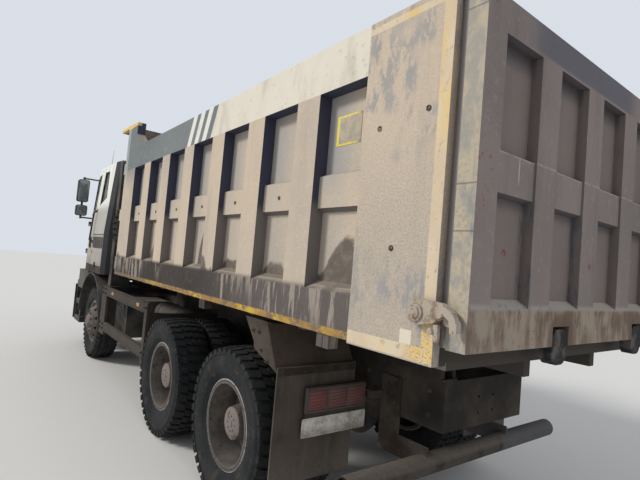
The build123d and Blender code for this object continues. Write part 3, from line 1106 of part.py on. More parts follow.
for x in (air_x[0] + 150, air_x[1] - 150):
    air_tanks += block((x - 35, x + 35), (RAIL_OUT, SIDE_GEAR_Y + 10), (600, 960))
    for z in AIR_TANK_Z:
        air_tanks += rod("x", air_y, z, AIR_TANK_RADIUS + STRAP, x - 25, x + 25)
save("battery_and_air_tanks", battery_box, air_tanks)
silencer = rounded_box((NOSE_X - 2510, NOSE_X - 2200), (RAIL_OUT + 30, 920), (480, 930), 80)
silencer += block((NOSE_X - 2400, NOSE_X - 2330), (RAIL_OUT, RAIL_OUT + 40), (RAIL_BOTTOM + 10, 900))
save("silencer", other_side(silencer))

# Side guards: two rails between a front plate and a rear post

GUARD_Y = (1180, 1215)
GUARD_REAR_X = MID_AXLE_X + TYRE_RADIUS + 20
GUARD_PLATE_X = (NOSE_X - 2475, NOSE_X - 2230)
guard = block((GUARD_REAR_X, GUARD_PLATE_X[1]), GUARD_Y, (1025, 1135))
guard += block((GUARD_REAR_X, GUARD_PLATE_X[1]), GUARD_Y, (565, 675))
guard += block(GUARD_PLATE_X, GUARD_Y, (506, 1135))
guard += block((GUARD_REAR_X, GUARD_REAR_X + 80), GUARD_Y, (506, 1135))
for x in (GUARD_REAR_X + 40, GUARD_PLATE_X[0] + 60):
    guard += block((x - 30, x + 30), (RAIL_OUT, GUARD_Y[0] + 5), (RAIL_TOP - 95, RAIL_TOP - 35))
    guard += block((x - 30, x + 30), (GUARD_Y[0] - 60, GUARD_Y[0] + 5), (600, RAIL_TOP - 35))
save("side_guards", *both(guard))

# Spare wheel, upright behind the cab on its carrier, with the engine's air intake beside it

SPARE_X = BED_FRONT_X + 356
SPARE_Y = 690
SPARE_Z = 1960
UPRIGHT_X = SPARE_X + FRONT_DISC_OFFSET + DISC_THICKNESS


def as_spare(shape):
    """A wheel drawn about its own middle, stood up behind the cab with its disc to the front."""
    return Pos(SPARE_X, SPARE_Y, SPARE_Z) * Rot(0, 0, -90) * Pos(0, 0, -WHEEL_Z) * shape


spare_rim = rim_ring(0, 0) + turned(0, [(FRONT_DISC_OFFSET + y, r) for y, r in front_disc_points])
spare_rim -= hand_holes(0, FRONT_DISC_OFFSET - 50)
save("spare_wheel", as_spare(spare_rim))
save("spare_tyre", as_spare(turned(0, tyre_section(0))))
PLATFORM_FRONT_X = CAB_REAR_X - 45
carrier_frame = block((UPRIGHT_X, PLATFORM_FRONT_X), (RAIL_IN, 1150), (RAIL_TOP, RAIL_TOP + 70))
carrier_frame += block((UPRIGHT_X, UPRIGHT_X + 30), (SPARE_Y - 90, SPARE_Y + 90), (RAIL_TOP, SPARE_Z + 110))
carrier_frame += rod("x", SPARE_Y, SPARE_Z, HUB_RADIUS - 10 - PIN_GAP, UPRIGHT_X - 60, UPRIGHT_X + 1)
save("spare_carrier", carrier_frame)

INTAKE_Y = (880, 1130)
INTAKE_X = (PLATFORM_FRONT_X - 140, PLATFORM_FRONT_X)
INTAKE_TOP = 2890
intake = block(INTAKE_X, INTAKE_Y, (RAIL_TOP + 70, INTAKE_TOP - 120))
hood = [
    (INTAKE_X[0], INTAKE_TOP - 120), (INTAKE_X[0] - 25, INTAKE_TOP - 40), (INTAKE_X[0] + 30, INTAKE_TOP),
    (INTAKE_X[1], INTAKE_TOP), (INTAKE_X[1], INTAKE_TOP - 120),
]
intake += slab("y", hood, *INTAKE_Y)
save("air_intake", intake)

# Rear mudguards with their tubes and gussets, rubber flaps, lamp arms and the underrun bar

FLAP_X = REAR_AXLE_X - 640
FLAP_Y = (632, 1240)
FLAP_Z = (380, 1070)
GUARD_TUBE = (REAR_AXLE_X - 380, SUBFRAME_TOP - 45)
GUSSET_TOP = BED_BOTTOM - 27
gusset_outline = [
    (REAR_AXLE_X - 215, GUSSET_TOP), (REAR_AXLE_X - 489, GUSSET_TOP), (FLAP_X, FLAP_Z[1] - 34),
    (REAR_AXLE_X - 400, SUBFRAME_TOP - 85),
]
mudguard = slab("y", gusset_outline, FLAP_Y[1] - 10, FLAP_Y[1])
sheet = [
    (REAR_AXLE_X - 330, GUSSET_TOP - 12), (REAR_AXLE_X - 489, GUSSET_TOP - 12), (FLAP_X, FLAP_Z[1] - 30),
    (FLAP_X + 8, FLAP_Z[1] - 30), (REAR_AXLE_X - 483, GUSSET_TOP - 20), (REAR_AXLE_X - 330, GUSSET_TOP - 20),
]
mudguard += slab("y", sheet, FLAP_Y[0], FLAP_Y[1])
mudguard += rod("y", *GUARD_TUBE, 38, RAIL_OUT, FLAP_Y[1] - 5)
mudguard += slab("y", gusset_outline, FLAP_Y[0], FLAP_Y[0] + 10)
save("mudguards", *both(mudguard))
flap = block((FLAP_X - 12, FLAP_X), FLAP_Y, FLAP_Z)
save("mudflaps", *both(flap))

UNDERRUN_X = REAR_AXLE_X - 1100
UNDERRUN_Z = 540
UNDERRUN_RADIUS = 62
UNDERRUN_HALF = 1070
PIPE_WALL = 8
PIPE_PLUG_DEPTH = 60
BRACKET_PLATE = 12
underrun = rod("y", UNDERRUN_X, UNDERRUN_Z, UNDERRUN_RADIUS, -UNDERRUN_HALF, UNDERRUN_HALF)
pipe_bore = UNDERRUN_RADIUS - PIPE_WALL
for end in (-UNDERRUN_HALF, UNDERRUN_HALF):
    underrun -= rod("y", UNDERRUN_X, UNDERRUN_Z, pipe_bore, end - PIPE_PLUG_DEPTH, end + PIPE_PLUG_DEPTH)
bracket_outline = [
    (REAR_AXLE_X - 722, RAIL_TOP - 60), (REAR_AXLE_X - 890, RAIL_TOP - 60), (REAR_AXLE_X - 890, 646),
    (UNDERRUN_X - 30, 646), (UNDERRUN_X - 30, 518), (REAR_AXLE_X - 722, 509),
]
ARM_Z = (840, 890)
bracket = slab("y", bracket_outline, RAIL_OUT, RAIL_OUT + BRACKET_PLATE)
LAMP_PLATE_X = (LAMP_BRACKET_X, REAR_AXLE_X - 655)
bracket += block(LAMP_PLATE_X, (TAIL_LAMP_Y[0] - 10, TAIL_LAMP_Y[1] + 2), (640, ARM_Z[1]))
bracket += block((REAR_AXLE_X - 740, LAMP_PLATE_X[1]), (RAIL_OUT, TAIL_LAMP_Y[0]), ARM_Z)
underrun += bracket + other_side(bracket)
save("underrun_bar", underrun)
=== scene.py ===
import math
from itertools import product

import bmesh
import bpy
from mathutils import Matrix, Vector


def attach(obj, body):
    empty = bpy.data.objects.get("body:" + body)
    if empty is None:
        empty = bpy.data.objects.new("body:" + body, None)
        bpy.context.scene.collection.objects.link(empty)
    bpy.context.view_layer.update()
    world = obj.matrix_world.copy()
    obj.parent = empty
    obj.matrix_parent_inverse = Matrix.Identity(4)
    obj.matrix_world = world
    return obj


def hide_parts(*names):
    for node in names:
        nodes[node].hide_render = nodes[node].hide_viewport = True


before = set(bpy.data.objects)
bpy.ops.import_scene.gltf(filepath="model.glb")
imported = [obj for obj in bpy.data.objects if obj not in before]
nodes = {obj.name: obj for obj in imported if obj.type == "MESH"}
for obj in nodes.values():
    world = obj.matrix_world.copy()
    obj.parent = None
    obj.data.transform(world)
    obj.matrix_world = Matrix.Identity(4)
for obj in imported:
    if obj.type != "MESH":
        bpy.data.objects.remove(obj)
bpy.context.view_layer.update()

# Stage: a pale floor under the truck, an even pale sky and two large soft lamps, the stronger
# one high ahead of the truck's left side, as the daylight was.
FLOOR_COLOUR = (720, 710, 690)
SKY_LIGHT = (0.86, 0.9, 0.96, 1)
SKY_SEEN = (0.7, 0.74, 0.8, 1)
scene = bpy.context.scene


class Signal:
    """A number that a finish works out at each point of a surface."""

    def __init__(self, finish, socket):
        self.finish, self.socket = finish, socket

    def math(self, operation, *terms):
        return self.finish.node("Math", {"operation": operation}, dict(enumerate(terms)))

    def __add__(self, other):
        return self.math("ADD", self, other)

    def __sub__(self, other):
        return self.math("SUBTRACT", self, other)

    def __rsub__(self, other):
        return self.math("SUBTRACT", other, self)

    def __mul__(self, other):
        return self.math("MULTIPLY", self, other)

    def __mod__(self, other):
        return self.math("FLOORED_MODULO", self, other)

    def __or__(self, other):
        return self.math("MAXIMUM", self, other)

    __radd__ = __add__
    __rmul__ = __mul__

    def size(self):
        return self.math("ABSOLUTE", self)

    def above(self, level, soft=0.002):
        """1 where the number is over a level and 0 below it, with a soft step between."""
        span = {"Value": self, "From Min": level - soft, "From Max": level + soft}
        return self.finish.node("MapRange", {"interpolation_type": "SMOOTHSTEP"}, span)

    def below(self, level, soft=0.002):
        return 1 - self.above(level, soft)

    def within(self, low, high, soft=0.002):
        return self.above(low, soft) * self.below(high, soft)


class Finish:
    """A material in the making: coats of colour, in thousandths of white, at places in metres."""

    def __init__(self, name, colour):
        self.material = bpy.data.materials.new(name)
        self.material.use_nodes = True
        self.tree = self.material.node_tree
        self.colour = colour
        self.spot = self.node("TexCoord", outlet="Object")
        self.x, self.y, self.z = self.parts(self.spot)

    def node(self, kind, settings=None, inlets=None, outlet=0):
        """One shader node: settings first, then its sockets filled or linked."""
        made = self.tree.nodes.new("ShaderNode" + kind)
        for key, value in (settings or {}).items():
            setattr(made, key, value)
        for key, value in (inlets or {}).items():
            self.feed(made.inputs[key], value)
        return Signal(self, made.outputs[outlet])

    def feed(self, socket, value):
        if isinstance(value, Signal):
            self.tree.links.new(value.socket, socket)
        elif socket.type == "RGBA":
            socket.default_value = (*(part / 1000 for part in value), 1)
        else:
            socket.default_value = value

    def parts(self, vector):
        split = self.tree.nodes.new("ShaderNodeSeparateXYZ")
        self.tree.links.new(vector.socket, split.inputs[0])
        return [Signal(self, socket) for socket in split.outputs]

    def facing(self):
        """The surface's own direction as three numbers."""
        return self.parts(self.node("TexCoord", outlet="Normal"))

    def noise(self, scale, seed=0.0, down=1, along=(1, 1), detail=6, rough=0.55):
        """Cloudy variation from 0 to 1, in blobs for each metre; a low down draws them out as runs."""
        place = {0: self.spot, "Scale": (*along, down), "Location": (seed, seed, seed)}
        cloud = {"Vector": self.node("Mapping", inlets=place), "Scale": scale, "Detail": detail}
        return self.node("TexNoise", inlets={**cloud, "Roughness": rough})

    def near(self, place, reach, soft):
        """1 within a distance of a place."""
        apart = self.node("VectorMath", {"operation": "DISTANCE"}, {0: self.spot, 1: place}, "Value")
        return apart.below(reach, soft)

    def over(self, under, *coats):
        """A colour under coats, each a colour and the mask that is 1 where it lies."""
        for colour, mask in zip(coats[::2], coats[1::2]):
            under = self.node("Mix", {"data_type": "RGBA"}, {0: mask, 6: under, 7: colour}, 2)
        return under

    def coat(self, colour, mask):
        self.colour = self.over(self.colour, colour, mask)

    def done(self, roughness=0.6, metallic=0.0, relief=None, depth=0.001, gloss=0.15, alpha=1.0):
        """Fill the shader; relief is a height pattern whose 1 stands a depth proud, in metres."""
        wanted = {"Base Color": self.colour, "Roughness": roughness, "Metallic": metallic}
        wanted.update({"Alpha": alpha, "Specular IOR Level": gloss})
        if relief is not None:
            wanted["Normal"] = self.node("Bump", inlets={"Height": relief, "Distance": depth})
        for key, value in wanted.items():
            self.feed(self.tree.nodes["Principled BSDF"].inputs[key], value)
        return self.material


def shown(mesh, name, material):
    """An object at the origin that shows a mesh in a finish."""
    data = bpy.data.meshes.new(name)
    mesh.to_mesh(data)
    mesh.free()
    data.materials.append(material)
    made = bpy.data.objects.new(name, data)
    scene.collection.objects.link(made)
    return made


floor_mesh = bmesh.new()
bmesh.ops.create_grid(floor_mesh, x_segments=1, y_segments=1, size=60)
floor_paint = Finish("floor", FLOOR_COLOUR).done(roughness=0.9, gloss=0.5)
shown(floor_mesh, "floor", floor_paint)

scene.world = bpy.data.worlds.new("studio")
scene.world.use_nodes = True
sky_tree = scene.world.node_tree
sky = sky_tree.nodes["Background"]
sky.inputs["Color"].default_value = SKY_LIGHT
sky.inputs["Strength"].default_value = 0.55
seen_sky = sky_tree.nodes.new("ShaderNodeBackground")
seen_sky.inputs["Color"].default_value = SKY_SEEN
eye_ray = sky_tree.nodes.new("ShaderNodeLightPath").outputs["Is Camera Ray"]
sky_choice = sky_tree.nodes.new("ShaderNodeMixShader")
for number, outlet in enumerate((eye_ray, sky.outputs[0], seen_sky.outputs[0])):
    sky_tree.links.new(outlet, sky_choice.inputs[number])
sky_tree.links.new(sky_choice.outputs[0], sky_tree.nodes["World Output"].inputs[0])


def lamp(name, direction, strength, spread, colour):
    """A distant soft lamp that shines from a direction."""
    light = bpy.data.lights.new(name, "SUN")
    light.energy, light.angle, light.color = strength, math.radians(spread), colour
    holder = bpy.data.objects.new(name, light)
    holder.rotation_mode = "QUATERNION"
    holder.rotation_quaternion = Vector(direction).to_track_quat("Z", "Y")
    scene.collection.objects.link(holder)


lamp("key", (0.62, 1.0, 0.78), 2.3, 14, (1.0, 0.96, 0.9))
lamp("fill", (-1.0, -0.2, 0.8), 0.35, 50, (0.92, 0.96, 1.0))

# Camera: at the photographer's eye behind the left rear corner, turned towards the cab and
# leaning a little, with the photograph's lens.
EYE = (-5.0005, 2.7253, 1.7011)
TURN, TILT, LEAN = -37.379, -2.791, -4.882
FOCAL_PIXELS = 456.6
PICTURE_WIDTH = 640
lens = bpy.data.cameras.new("camera")
lens.sensor_width = 36
lens.lens = FOCAL_PIXELS / PICTURE_WIDTH * lens.sensor_width
lens.clip_end = 200
camera = bpy.data.objects.new("camera", lens)
view = Matrix.Translation(EYE)
for axis, degrees in (("Z", TURN), ("Y", TILT), ("X", LEAN)):
    view = view @ Matrix.Rotation(math.radians(degrees), 4, axis)
looking_along_x = Matrix(((0, 0, -1, 0), (-1, 0, 0, 0), (0, 1, 0, 0), (0, 0, 0, 1)))
camera.matrix_world = view @ looking_along_x
scene.collection.objects.link(camera)
scene.camera = camera
scene.view_settings.view_transform = "Standard"

# Load bed: welded steel sides with pressed ribs, in warm grey paint under road dust. The top rail
# is slate with white stripes and a cream panel, and yellow tape edges the rear plates.
WORN_GREY = (460, 400, 335)
TAPE_YELLOW = (760, 530, 190)
RUST = (190, 85, 40)
SCRAPED_STEEL = (230, 215, 200)
BAY_START, BAY_PITCH = -3.3395, 0.605
POST_X = 0.676
FOOT_Z = 1.333
SIDE_Y = 1.2


def paint(material, *names):
    """Give CAD nodes a finish in place of their plain one."""
    for name in names:
        slots = nodes[name].data.materials
        slots.clear()
        slots.append(material)


f = Finish("bed_paint", (570, 475, 370))
side = f.y.size()
facing_x, facing_y, facing_z = f.facing()
cloud = f.noise(0.8)
grain = f.noise(26, 3)
speckle = f.noise(110, 8, detail=5, rough=0.8)
plate = f.x.below(-3.34)
f.coat(WORN_GREY, cloud.above(0.56, 0.14) * (1 - 0.6 * plate))
f.coat(WORN_GREY, plate * f.z.below(1.95, 0.5) * 0.75)
f.coat((360, 310, 260), f.noise(7, 5, down=0.1).above(0.62, 0.12) * 0.4)
f.coat((620, 540, 440), grain.above(0.6, 0.08) * 0.3)
f.coat((300, 255, 210), speckle.above(0.56, 0.06) * 0.4)
flecks = f.noise(13, 21, down=0.4, rough=0.8).above(0.51, 0.05)
worn_low = plate * f.z.below(2.15, 0.35) * speckle.above(0.5, 0.06)
f.coat((300, 275, 250), worn_low * 0.45)
crowded = 0.16 * f.z.above(2.52, 0.12) + 0.07 * f.x.above(-3.44, 0.04) * f.z.above(2.0, 0.2)
patches = (f.noise(2.4, 27, detail=2) + crowded).above(0.57, 0.06)
f.coat((270, 280, 290), flecks * patches * plate * 0.75)
f.coat((90, 80, 75), f.noise(38, 31, rough=0.8).above(0.66, 0.03) * patches * 0.6)

ribbed = f.x.above(BAY_START, 0.001)
along_bay = (f.x - BAY_START) % BAY_PITCH
# Painted reflection and shade: a cool blue-grey over each bay's panel past its first 0.2 m, stronger in the
# upper bays, for sky seen in the panels and the ribs' shade.
painted_sky_shade = along_bay.above(0.2, 0.1) * side.below(SIDE_Y) * f.x.above(-3.34)
f.coat((330, 335, 335), painted_sky_shade * (0.35 + 0.45 * f.z.above(2.1, 0.1)) * (0.4 + 0.9 * cloud))
# Painted shade: faces turned rearwards and undersides are darkened, navy in the upper bays and on the front
# post, grey-brown lower down.
shadowed = facing_x.below(-0.5, 0.2) * f.x.above(-3.8) | facing_z.below(-0.5, 0.2)
painted_shade_tone = f.over((185, 165, 155), (52, 56, 88), f.z.above(2.02, 0.05) | f.x.above(POST_X))
f.coat(painted_shade_tone, shadowed * f.z.above(1.3))
f.coat((400, 345, 285), facing_z.above(0.35, 0.15) * 0.85)

rail = f.z.above(2.6395, 0.001) * side.above(SIDE_Y) * ribbed
slant = f.x * -1 - 0.437 * (f.z - 2.661)
head = f.z.above(2.55, 0.25) * f.x.above(POST_X, 0.001)
slate = f.over((150, 172, 180), (220, 235, 235), cloud.above(0.5, 0.15) * 0.6)
top_paint = f.over(slate, (360, 385, 375), f.x.above(1.02, 0.02) * 0.8)
for start in (0.965, 1.13, 1.295):
    top_paint = f.over(top_paint, (720, 710, 670), slant.within(start, start + 0.088))
cream = f.over((700, 655, 560), (470, 420, 350), f.noise(4, 41, down=0.3).above(0.57, 0.1) * 0.7)
top_paint = f.over(top_paint, cream, slant.above(1.475), WORN_GREY, grain.above(0.66, 0.05) * 0.5)
f.coat(top_paint, (rail | head * side.above(SIDE_Y)) * (1 - shadowed))
f.coat(TAPE_YELLOW, f.z.above(3.17) * side.above(SIDE_Y) * speckle.below(0.6, 0.1))

upright = f.x.below(-3.7895, 0.001) * f.z.above(1.336)
foot = plate * f.z.within(FOOT_Z, 1.392)
crown = plate * f.z.within(2.838, 2.872)
square = f.x.within(-3.736, -3.672) * f.z.within(1.392, 1.452)
tape = (upright | foot | crown | square) * side.above(1.2435, 0.0005)
worn = f.noise(40, 51, down=0.5, rough=0.7).below(0.62, 0.05)
bright = f.noise(7, 61, down=0.3, along=(2, 1)).above(0.53, 0.05)
corner = f.near((-3.835, 1.245, 1.385), 0.12, 0.05) * (1 - square)
tape_colour = f.over(
    (680, 575, 410), TAPE_YELLOW, bright * (0.35 + 0.65 * f.z.above(2.4, 0.4)),
    (620, 500, 360), f.noise(3, 63).above(0.52, 0.08) * 0.8, (720, 660, 520), square,
    TAPE_YELLOW, corner * grain.above(0.4, 0.1) * 0.85,
    (60, 50, 45), corner * speckle.above(0.57, 0.04) * 0.8,
)
f.coat(tape_colour, tape * worn * 0.9)

low = f.z.below(1.57, 0.02) * ribbed * side.above(1.15)
splash = f.noise(2.9, 11, down=0.25, detail=1.5)
drift = f.noise(1.3, 15, detail=1)
hump = (along_bay - 0.22 + 0.7 * (drift - 0.5)).size()
panel = side.below(SIDE_Y) * (1 - 8 * hump * hump) * (0.25 + 2.6 * (drift - 0.36))
reach = (1.46 + 0.36 * panel + 0.9 * (splash - 0.45) + 0.06 * (grain - 0.5)) - f.z
wet = reach.above(0.0, 0.02) * side.above(1.148) * ribbed
wet_tone = f.over((100, 82, 70), (165, 140, 120), f.noise(9, 71, rough=0.7).above(0.52, 0.1))
f.coat(wet_tone, wet * facing_y.above(0.4, 0.2) * 0.9)
rail_tone = f.over(
    (40, 34, 31), (115, 98, 92), f.x.below(-2.0, 0.9),
    (150, 130, 120), f.noise(21, 79, rough=0.75).above(0.6, 0.05) * 0.4,
)
f.coat(rail_tone, low * 0.98)
dried = f.noise(19, 81, down=0.12, rough=0.7).above(0.525, 0.03)
dribble = (f.noise(1.7, 85, down=0.05) + 0.35 * (f.z - 1.45)).above(0.48, 0.04)
f.coat((340, 295, 255), dried * dribble * low * 0.8)
hem = f.z.within(FOOT_Z, 1.375, 0.006) * f.x.above(-3.34)
f.coat((200, 145, 90), hem * 0.85)
taped = f.noise(26, 91, down=0.6, along=(0.4, 1), rough=0.8).above(0.47, 0.06)
f.coat((400, 230, 70), hem * taped * f.x.below(-0.2, 0.5) * 0.75)
taped = taped * f.noise(2.6, 93).above(0.52, 0.04)
f.coat((660, 460, 50), hem * taped * f.x.below(-0.2, 0.5) * 0.65)
# Painted shade: the rear sill under the tailgate's skirt is darkened nearly black.
painted_sill_shade = f.x.below(-3.8) * f.z.below(1.406) * facing_x.below(-0.5) * side.below(SIDE_Y)
f.coat((45, 38, 34), painted_sill_shade * 0.95)

bare = f.over(
    SCRAPED_STEEL, RUST, f.noise(3, 101, rough=0.7).above(0.53, 0.1) * 0.8,
    (120, 100, 85), f.noise(1.4, 111).above(0.55, 0.12) * 0.7,
)
f.coat(bare, side.below(1.1515, 0.0005) * f.z.above(1.39))
f.coat((70, 62, 56), f.z.below(1.334) * side.below(1.15))
relief = f.noise(2.4, 121, detail=2) * 4 + grain * 0.5 + speckle * 0.5
bed_paint = f.done(roughness=0.62 + 0.25 * grain, relief=relief, depth=0.004)
paint(bed_paint, "bed_side_left", "bed_side_right", "bed_front", "bed_floor")

# Drain rings: short tube ends let into the side's ribs and beams,
# blackened by what runs out; a dark disc in each bore is painted shade for the hole.


def added(mesh, before):
    """The points that a mesh has gained since it held the set before."""
    return [vert for vert in mesh.verts if vert not in before]


def edges_of(points):
    return {link for vert in points for link in vert.link_edges}


def ease(mesh, edges, width, steps=2):
    """Bevel edges by a width."""
    bmesh.ops.bevel(
        mesh, geom=list(edges), offset=width, segments=steps, profile=0.5, affect="EDGES", material=-1
    )


def spaced(first, pitch, count):
    return [first + pitch * number for number in range(count)]


def rod(mesh, start, end, radius, tip=None, sides=24, edge=0.0):
    """A round bar between two points, with an optional other radius at its end and rounded rims."""
    before = set(mesh.verts)
    start, end = Vector(start), Vector(end)
    turn = (end - start).to_track_quat("Z", "Y").to_matrix().to_4x4()
    made = bmesh.ops.create_cone(
        mesh, cap_ends=True, segments=sides, radius1=radius, radius2=radius if tip is None else tip,
        depth=(end - start).length, matrix=Matrix.Translation((start + end) / 2) @ turn,
    )["verts"]
    if edge:
        ease(mesh, [e for e in edges_of(made) if any(len(face.verts) > 4 for face in e.link_faces)], edge)
    return added(mesh, before)


def turned(mesh, centre, axis, section, sides=48):
    """A form turned about an axis from a closed section, as places along the axis and radii."""
    before = set(mesh.verts)
    axis = Vector(axis)
    out = axis.orthogonal().normalized()
    points = [mesh.verts.new(Vector(centre) + axis * along + out * radius) for along, radius in section]
    edges = [mesh.edges.new(pair) for pair in zip(points, points[1:] + points[:1])]
    bmesh.ops.spin(
        mesh, geom=points + edges, cent=centre, axis=axis, dvec=(0, 0, 0), angle=2 * math.pi, steps=sides,
        use_merge=True, use_duplicate=False,
    )
    bmesh.ops.remove_doubles(mesh, verts=added(mesh, before), dist=1e-6)


def twins(mesh):
    """Add the right side's twin of all that the mesh holds."""
    copied = bmesh.ops.duplicate(mesh, geom=mesh.verts[:] + mesh.edges[:] + mesh.faces[:])["geom"]
    points = [part for part in copied if isinstance(part, bmesh.types.BMVert)]
    bmesh.ops.scale(mesh, vec=(1, -1, 1), verts=points)


def fit(mesh, name, material, body, slot, *stands_for, smooth=35):
    """Make a mesh a piece of the truck, finished and carried by a body."""
    bmesh.ops.recalc_face_normals(mesh, faces=mesh.faces)
    for face in mesh.faces:
        face.smooth = True
    made = shown(mesh, name, material)
    made.data.set_sharp_from_angle(angle=math.radians(smooth))
    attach(made, body)
    if stands_for:
        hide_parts(*stands_for)
    return made


f = Finish("ring_paint", (60, 50, 45))
f.coat((300, 250, 200), f.noise(90).above(0.52, 0.1))
ring_paint = f.done(roughness=0.8)
rings = bmesh.new()
RING_SECTION = [(-0.004, 0.008), (-0.004, 0.0135), (0.004, 0.013), (0.005, 0.011), (0.001, 0.008)]
ring_places = [(-3.454, 1.245, 2.352), (-3.741, 1.245, 2.39), (-3.585, 1.245, 1.791)]
ring_places += [(bay_x, 1.2, 2.085) for bay_x in spaced(-2.5425, BAY_PITCH, 6)]
for x, y, z in ring_places:
    turned(rings, (x, y, z), (0, 1, 0), RING_SECTION, sides=20)
    # A dark disc fills the bore: painted shade where the hole is.
    rod(rings, (x, y - 0.001, z), (x, y + 0.0006, z), 0.009, sides=20)
twins(rings)
fit(rings, "drain_rings", ring_paint, "bed", "bed_paint")

# Sign plate: a thin blank plate in a yellow border, riveted to the
# skin of the rearmost bay.


def box(mesh, low, high):
    made = bmesh.ops.create_cube(mesh, size=1)["verts"]
    bmesh.ops.scale(mesh, vec=[b - a for a, b in zip(low, high)], verts=made)
    bmesh.ops.translate(mesh, vec=[(a + b) / 2 for a, b in zip(low, high)], verts=made)
    return made


def block(mesh, low, high, edge=0.003, steps=2):
    """A box between two corners with rounded edges."""
    ease(mesh, edges_of(box(mesh, low, high)), edge, steps)


SIGN_MIDDLE = Vector((-3.127, 1.1595, 2.432))
SIGN_HALF = Vector((0.1, 0.0014, 0.084))
f = Finish("sign_enamel", (470, 410, 310))
sign_edge = (f.x - SIGN_MIDDLE.x).above(0.081)
sign_edge = sign_edge | (f.z - SIGN_MIDDLE.z).size().above(0.074) * f.x.above(-3.2, 0.03)
f.coat((380, 340, 270), f.noise(20).above(0.5, 0.1))
f.coat((780, 660, 100), sign_edge)
f.coat((330, 285, 235), f.noise(30, 5).above(0.62, 0.06) * 0.8)
sign_enamel = f.done(roughness=0.75)
sign = bmesh.new()
block(sign, SIGN_MIDDLE - SIGN_HALF, SIGN_MIDDLE + SIGN_HALF, edge=0.0008)
for across in (-0.092, 0.092):
    for up in (-0.076, 0.076):
        rivet = SIGN_MIDDLE + Vector((across, 0.001, up))
        rod(sign, rivet, rivet + Vector((0, 0.003, 0)), 0.004, tip=0.0028, sides=12)
fit(sign, "sign_plate", sign_enamel, "bed", "bed_paint")

# Tailgate: a pressed steel door in the bed's grey, browned by dust and painted darker than the bed as
# painted shade. Its side faces are painted a sunlit beige, with peeled beige and blue patches, the ledge is
# pale with spilt dust, and rusty water has run down the lowest beam.
# A darker, browner copy of the bed's grey: dust, and painted shade over the whole gate.
f = Finish("gate_paint", (262, 218, 205))
side = f.y.size()
facing_x, facing_y, facing_z = f.facing()
cloud = f.noise(1.1, 2)
grain = f.noise(30, 4)
flecks = f.noise(70, 24, detail=3)
f.coat((208, 178, 168), cloud.above(0.5, 0.15))
f.coat((150, 130, 118), f.noise(8, 6, down=0.09).above(0.6, 0.1) * 0.4)
f.coat((330, 300, 275), grain.above(0.62, 0.06) * 0.3)
recess = f.x.above(-3.96, 0.004)
rear = facing_x.below(-0.5)
# Painted shade: the recessed panels between the ribs are a little darker.
f.coat((195, 160, 145), recess * 0.6)
# Painted shadow: a dark band at the top of each bay under the top beam, and a weaker one under the
# mid-beam.
painted_soffit_shadow = recess * (f.z.above(2.62, 0.05) | f.z.within(1.995, 2.06, 0.03) * 0.6)
f.coat((60, 56, 70), painted_soffit_shadow * side.below(SIDE_Y) * 0.75)
lip = f.z.within(2.206, 2.214, 0.003) * rear * side.below(1.1)
f.coat((420, 380, 340), lip * (1 - recess) * grain.above(0.42, 0.1) * 0.6)
banner = f.z.above(2.7, 0.01) * f.y.within(-0.25, 0.85, 0.12)
f.coat((115, 118, 145), banner * rear * 0.8)
# Painted shade: faces turned down are darkened.
f.coat((100, 92, 100), facing_z.below(-0.5, 0.2) * 0.85)
# Painted shade: the bay walls, turned sideways, are darkened.
f.coat((150, 130, 125), facing_y.size().above(0.5, 0.2) * side.below(SIDE_Y) * 0.5)
scraped = f.y.within(0.79, 0.828, 0.006) | f.y.within(0.32, 0.345, 0.006)
torn = f.noise(14, 84, down=0.25, rough=0.7).above(0.5, 0.06)
f.coat((85, 100, 130), scraped * f.z.within(1.6, 2.02, 0.08) * torn * 0.8)
ledge = facing_z.above(0.3, 0.1) * f.z.below(1.75)
bluish = f.noise(30, 94).above(0.57, 0.03) * f.y.above(0.6, 0.1)
pale = f.over((420, 375, 330), (240, 280, 310), bluish)
f.coat(pale, (ledge | f.z.within(1.555, 1.59, 0.012) * 0.6) * 0.9)
skirt = f.z.below(1.57, 0.01)
stains = 0.6 * f.noise(15, 14, down=0.25, rough=0.7) + 0.4 * f.noise(5, 16)
f.coat((235, 178, 135), skirt * 0.85)
f.coat((400, 345, 270), skirt * stains.below(0.47, 0.04) * 0.55)
drips = stains.above(0.525, 0.03) * (0.3 + 0.7 * f.z.above(1.44, 0.08))
f.coat((135, 88, 60), skirt * drips * 0.7)
for arch_y in (0.485, -0.485):
    f.coat((135, 95, 70), f.near((-3.97, arch_y, 1.43), 0.13, 0.02) * skirt * 0.8)
nicks = flecks.above(0.56, 0.04) * f.noise(9, 34, rough=0.75).above(0.56, 0.04)
scuffed = skirt * f.y.within(0.55, 1.0, 0.15) | f.z.above(2.72, 0.05) * f.y.above(1.0, 0.08)
scuffed = scuffed | f.y.above(1.1, 0.02) * f.z.within(1.9, 2.5, 0.2)
f.coat((270, 75, 60), scuffed * nicks * 0.7)
for place in ((-3.935, 0.936, 1.805), (-3.985, 0.218, 1.795)):
    f.coat((190, 45, 48), f.near(place, 0.018, 0.004) * grain.above(0.4, 0.08) * 0.8)
    f.coat((200, 170, 158), f.near(place, 0.008, 0.004))
chalk = f.near((-3.975, 0.923, 2.152), 0.05, 0.02) * f.y.within(0.919, 0.927, 0.003)
f.coat((500, 470, 440), chalk * grain.above(0.4, 0.1) * 0.8)
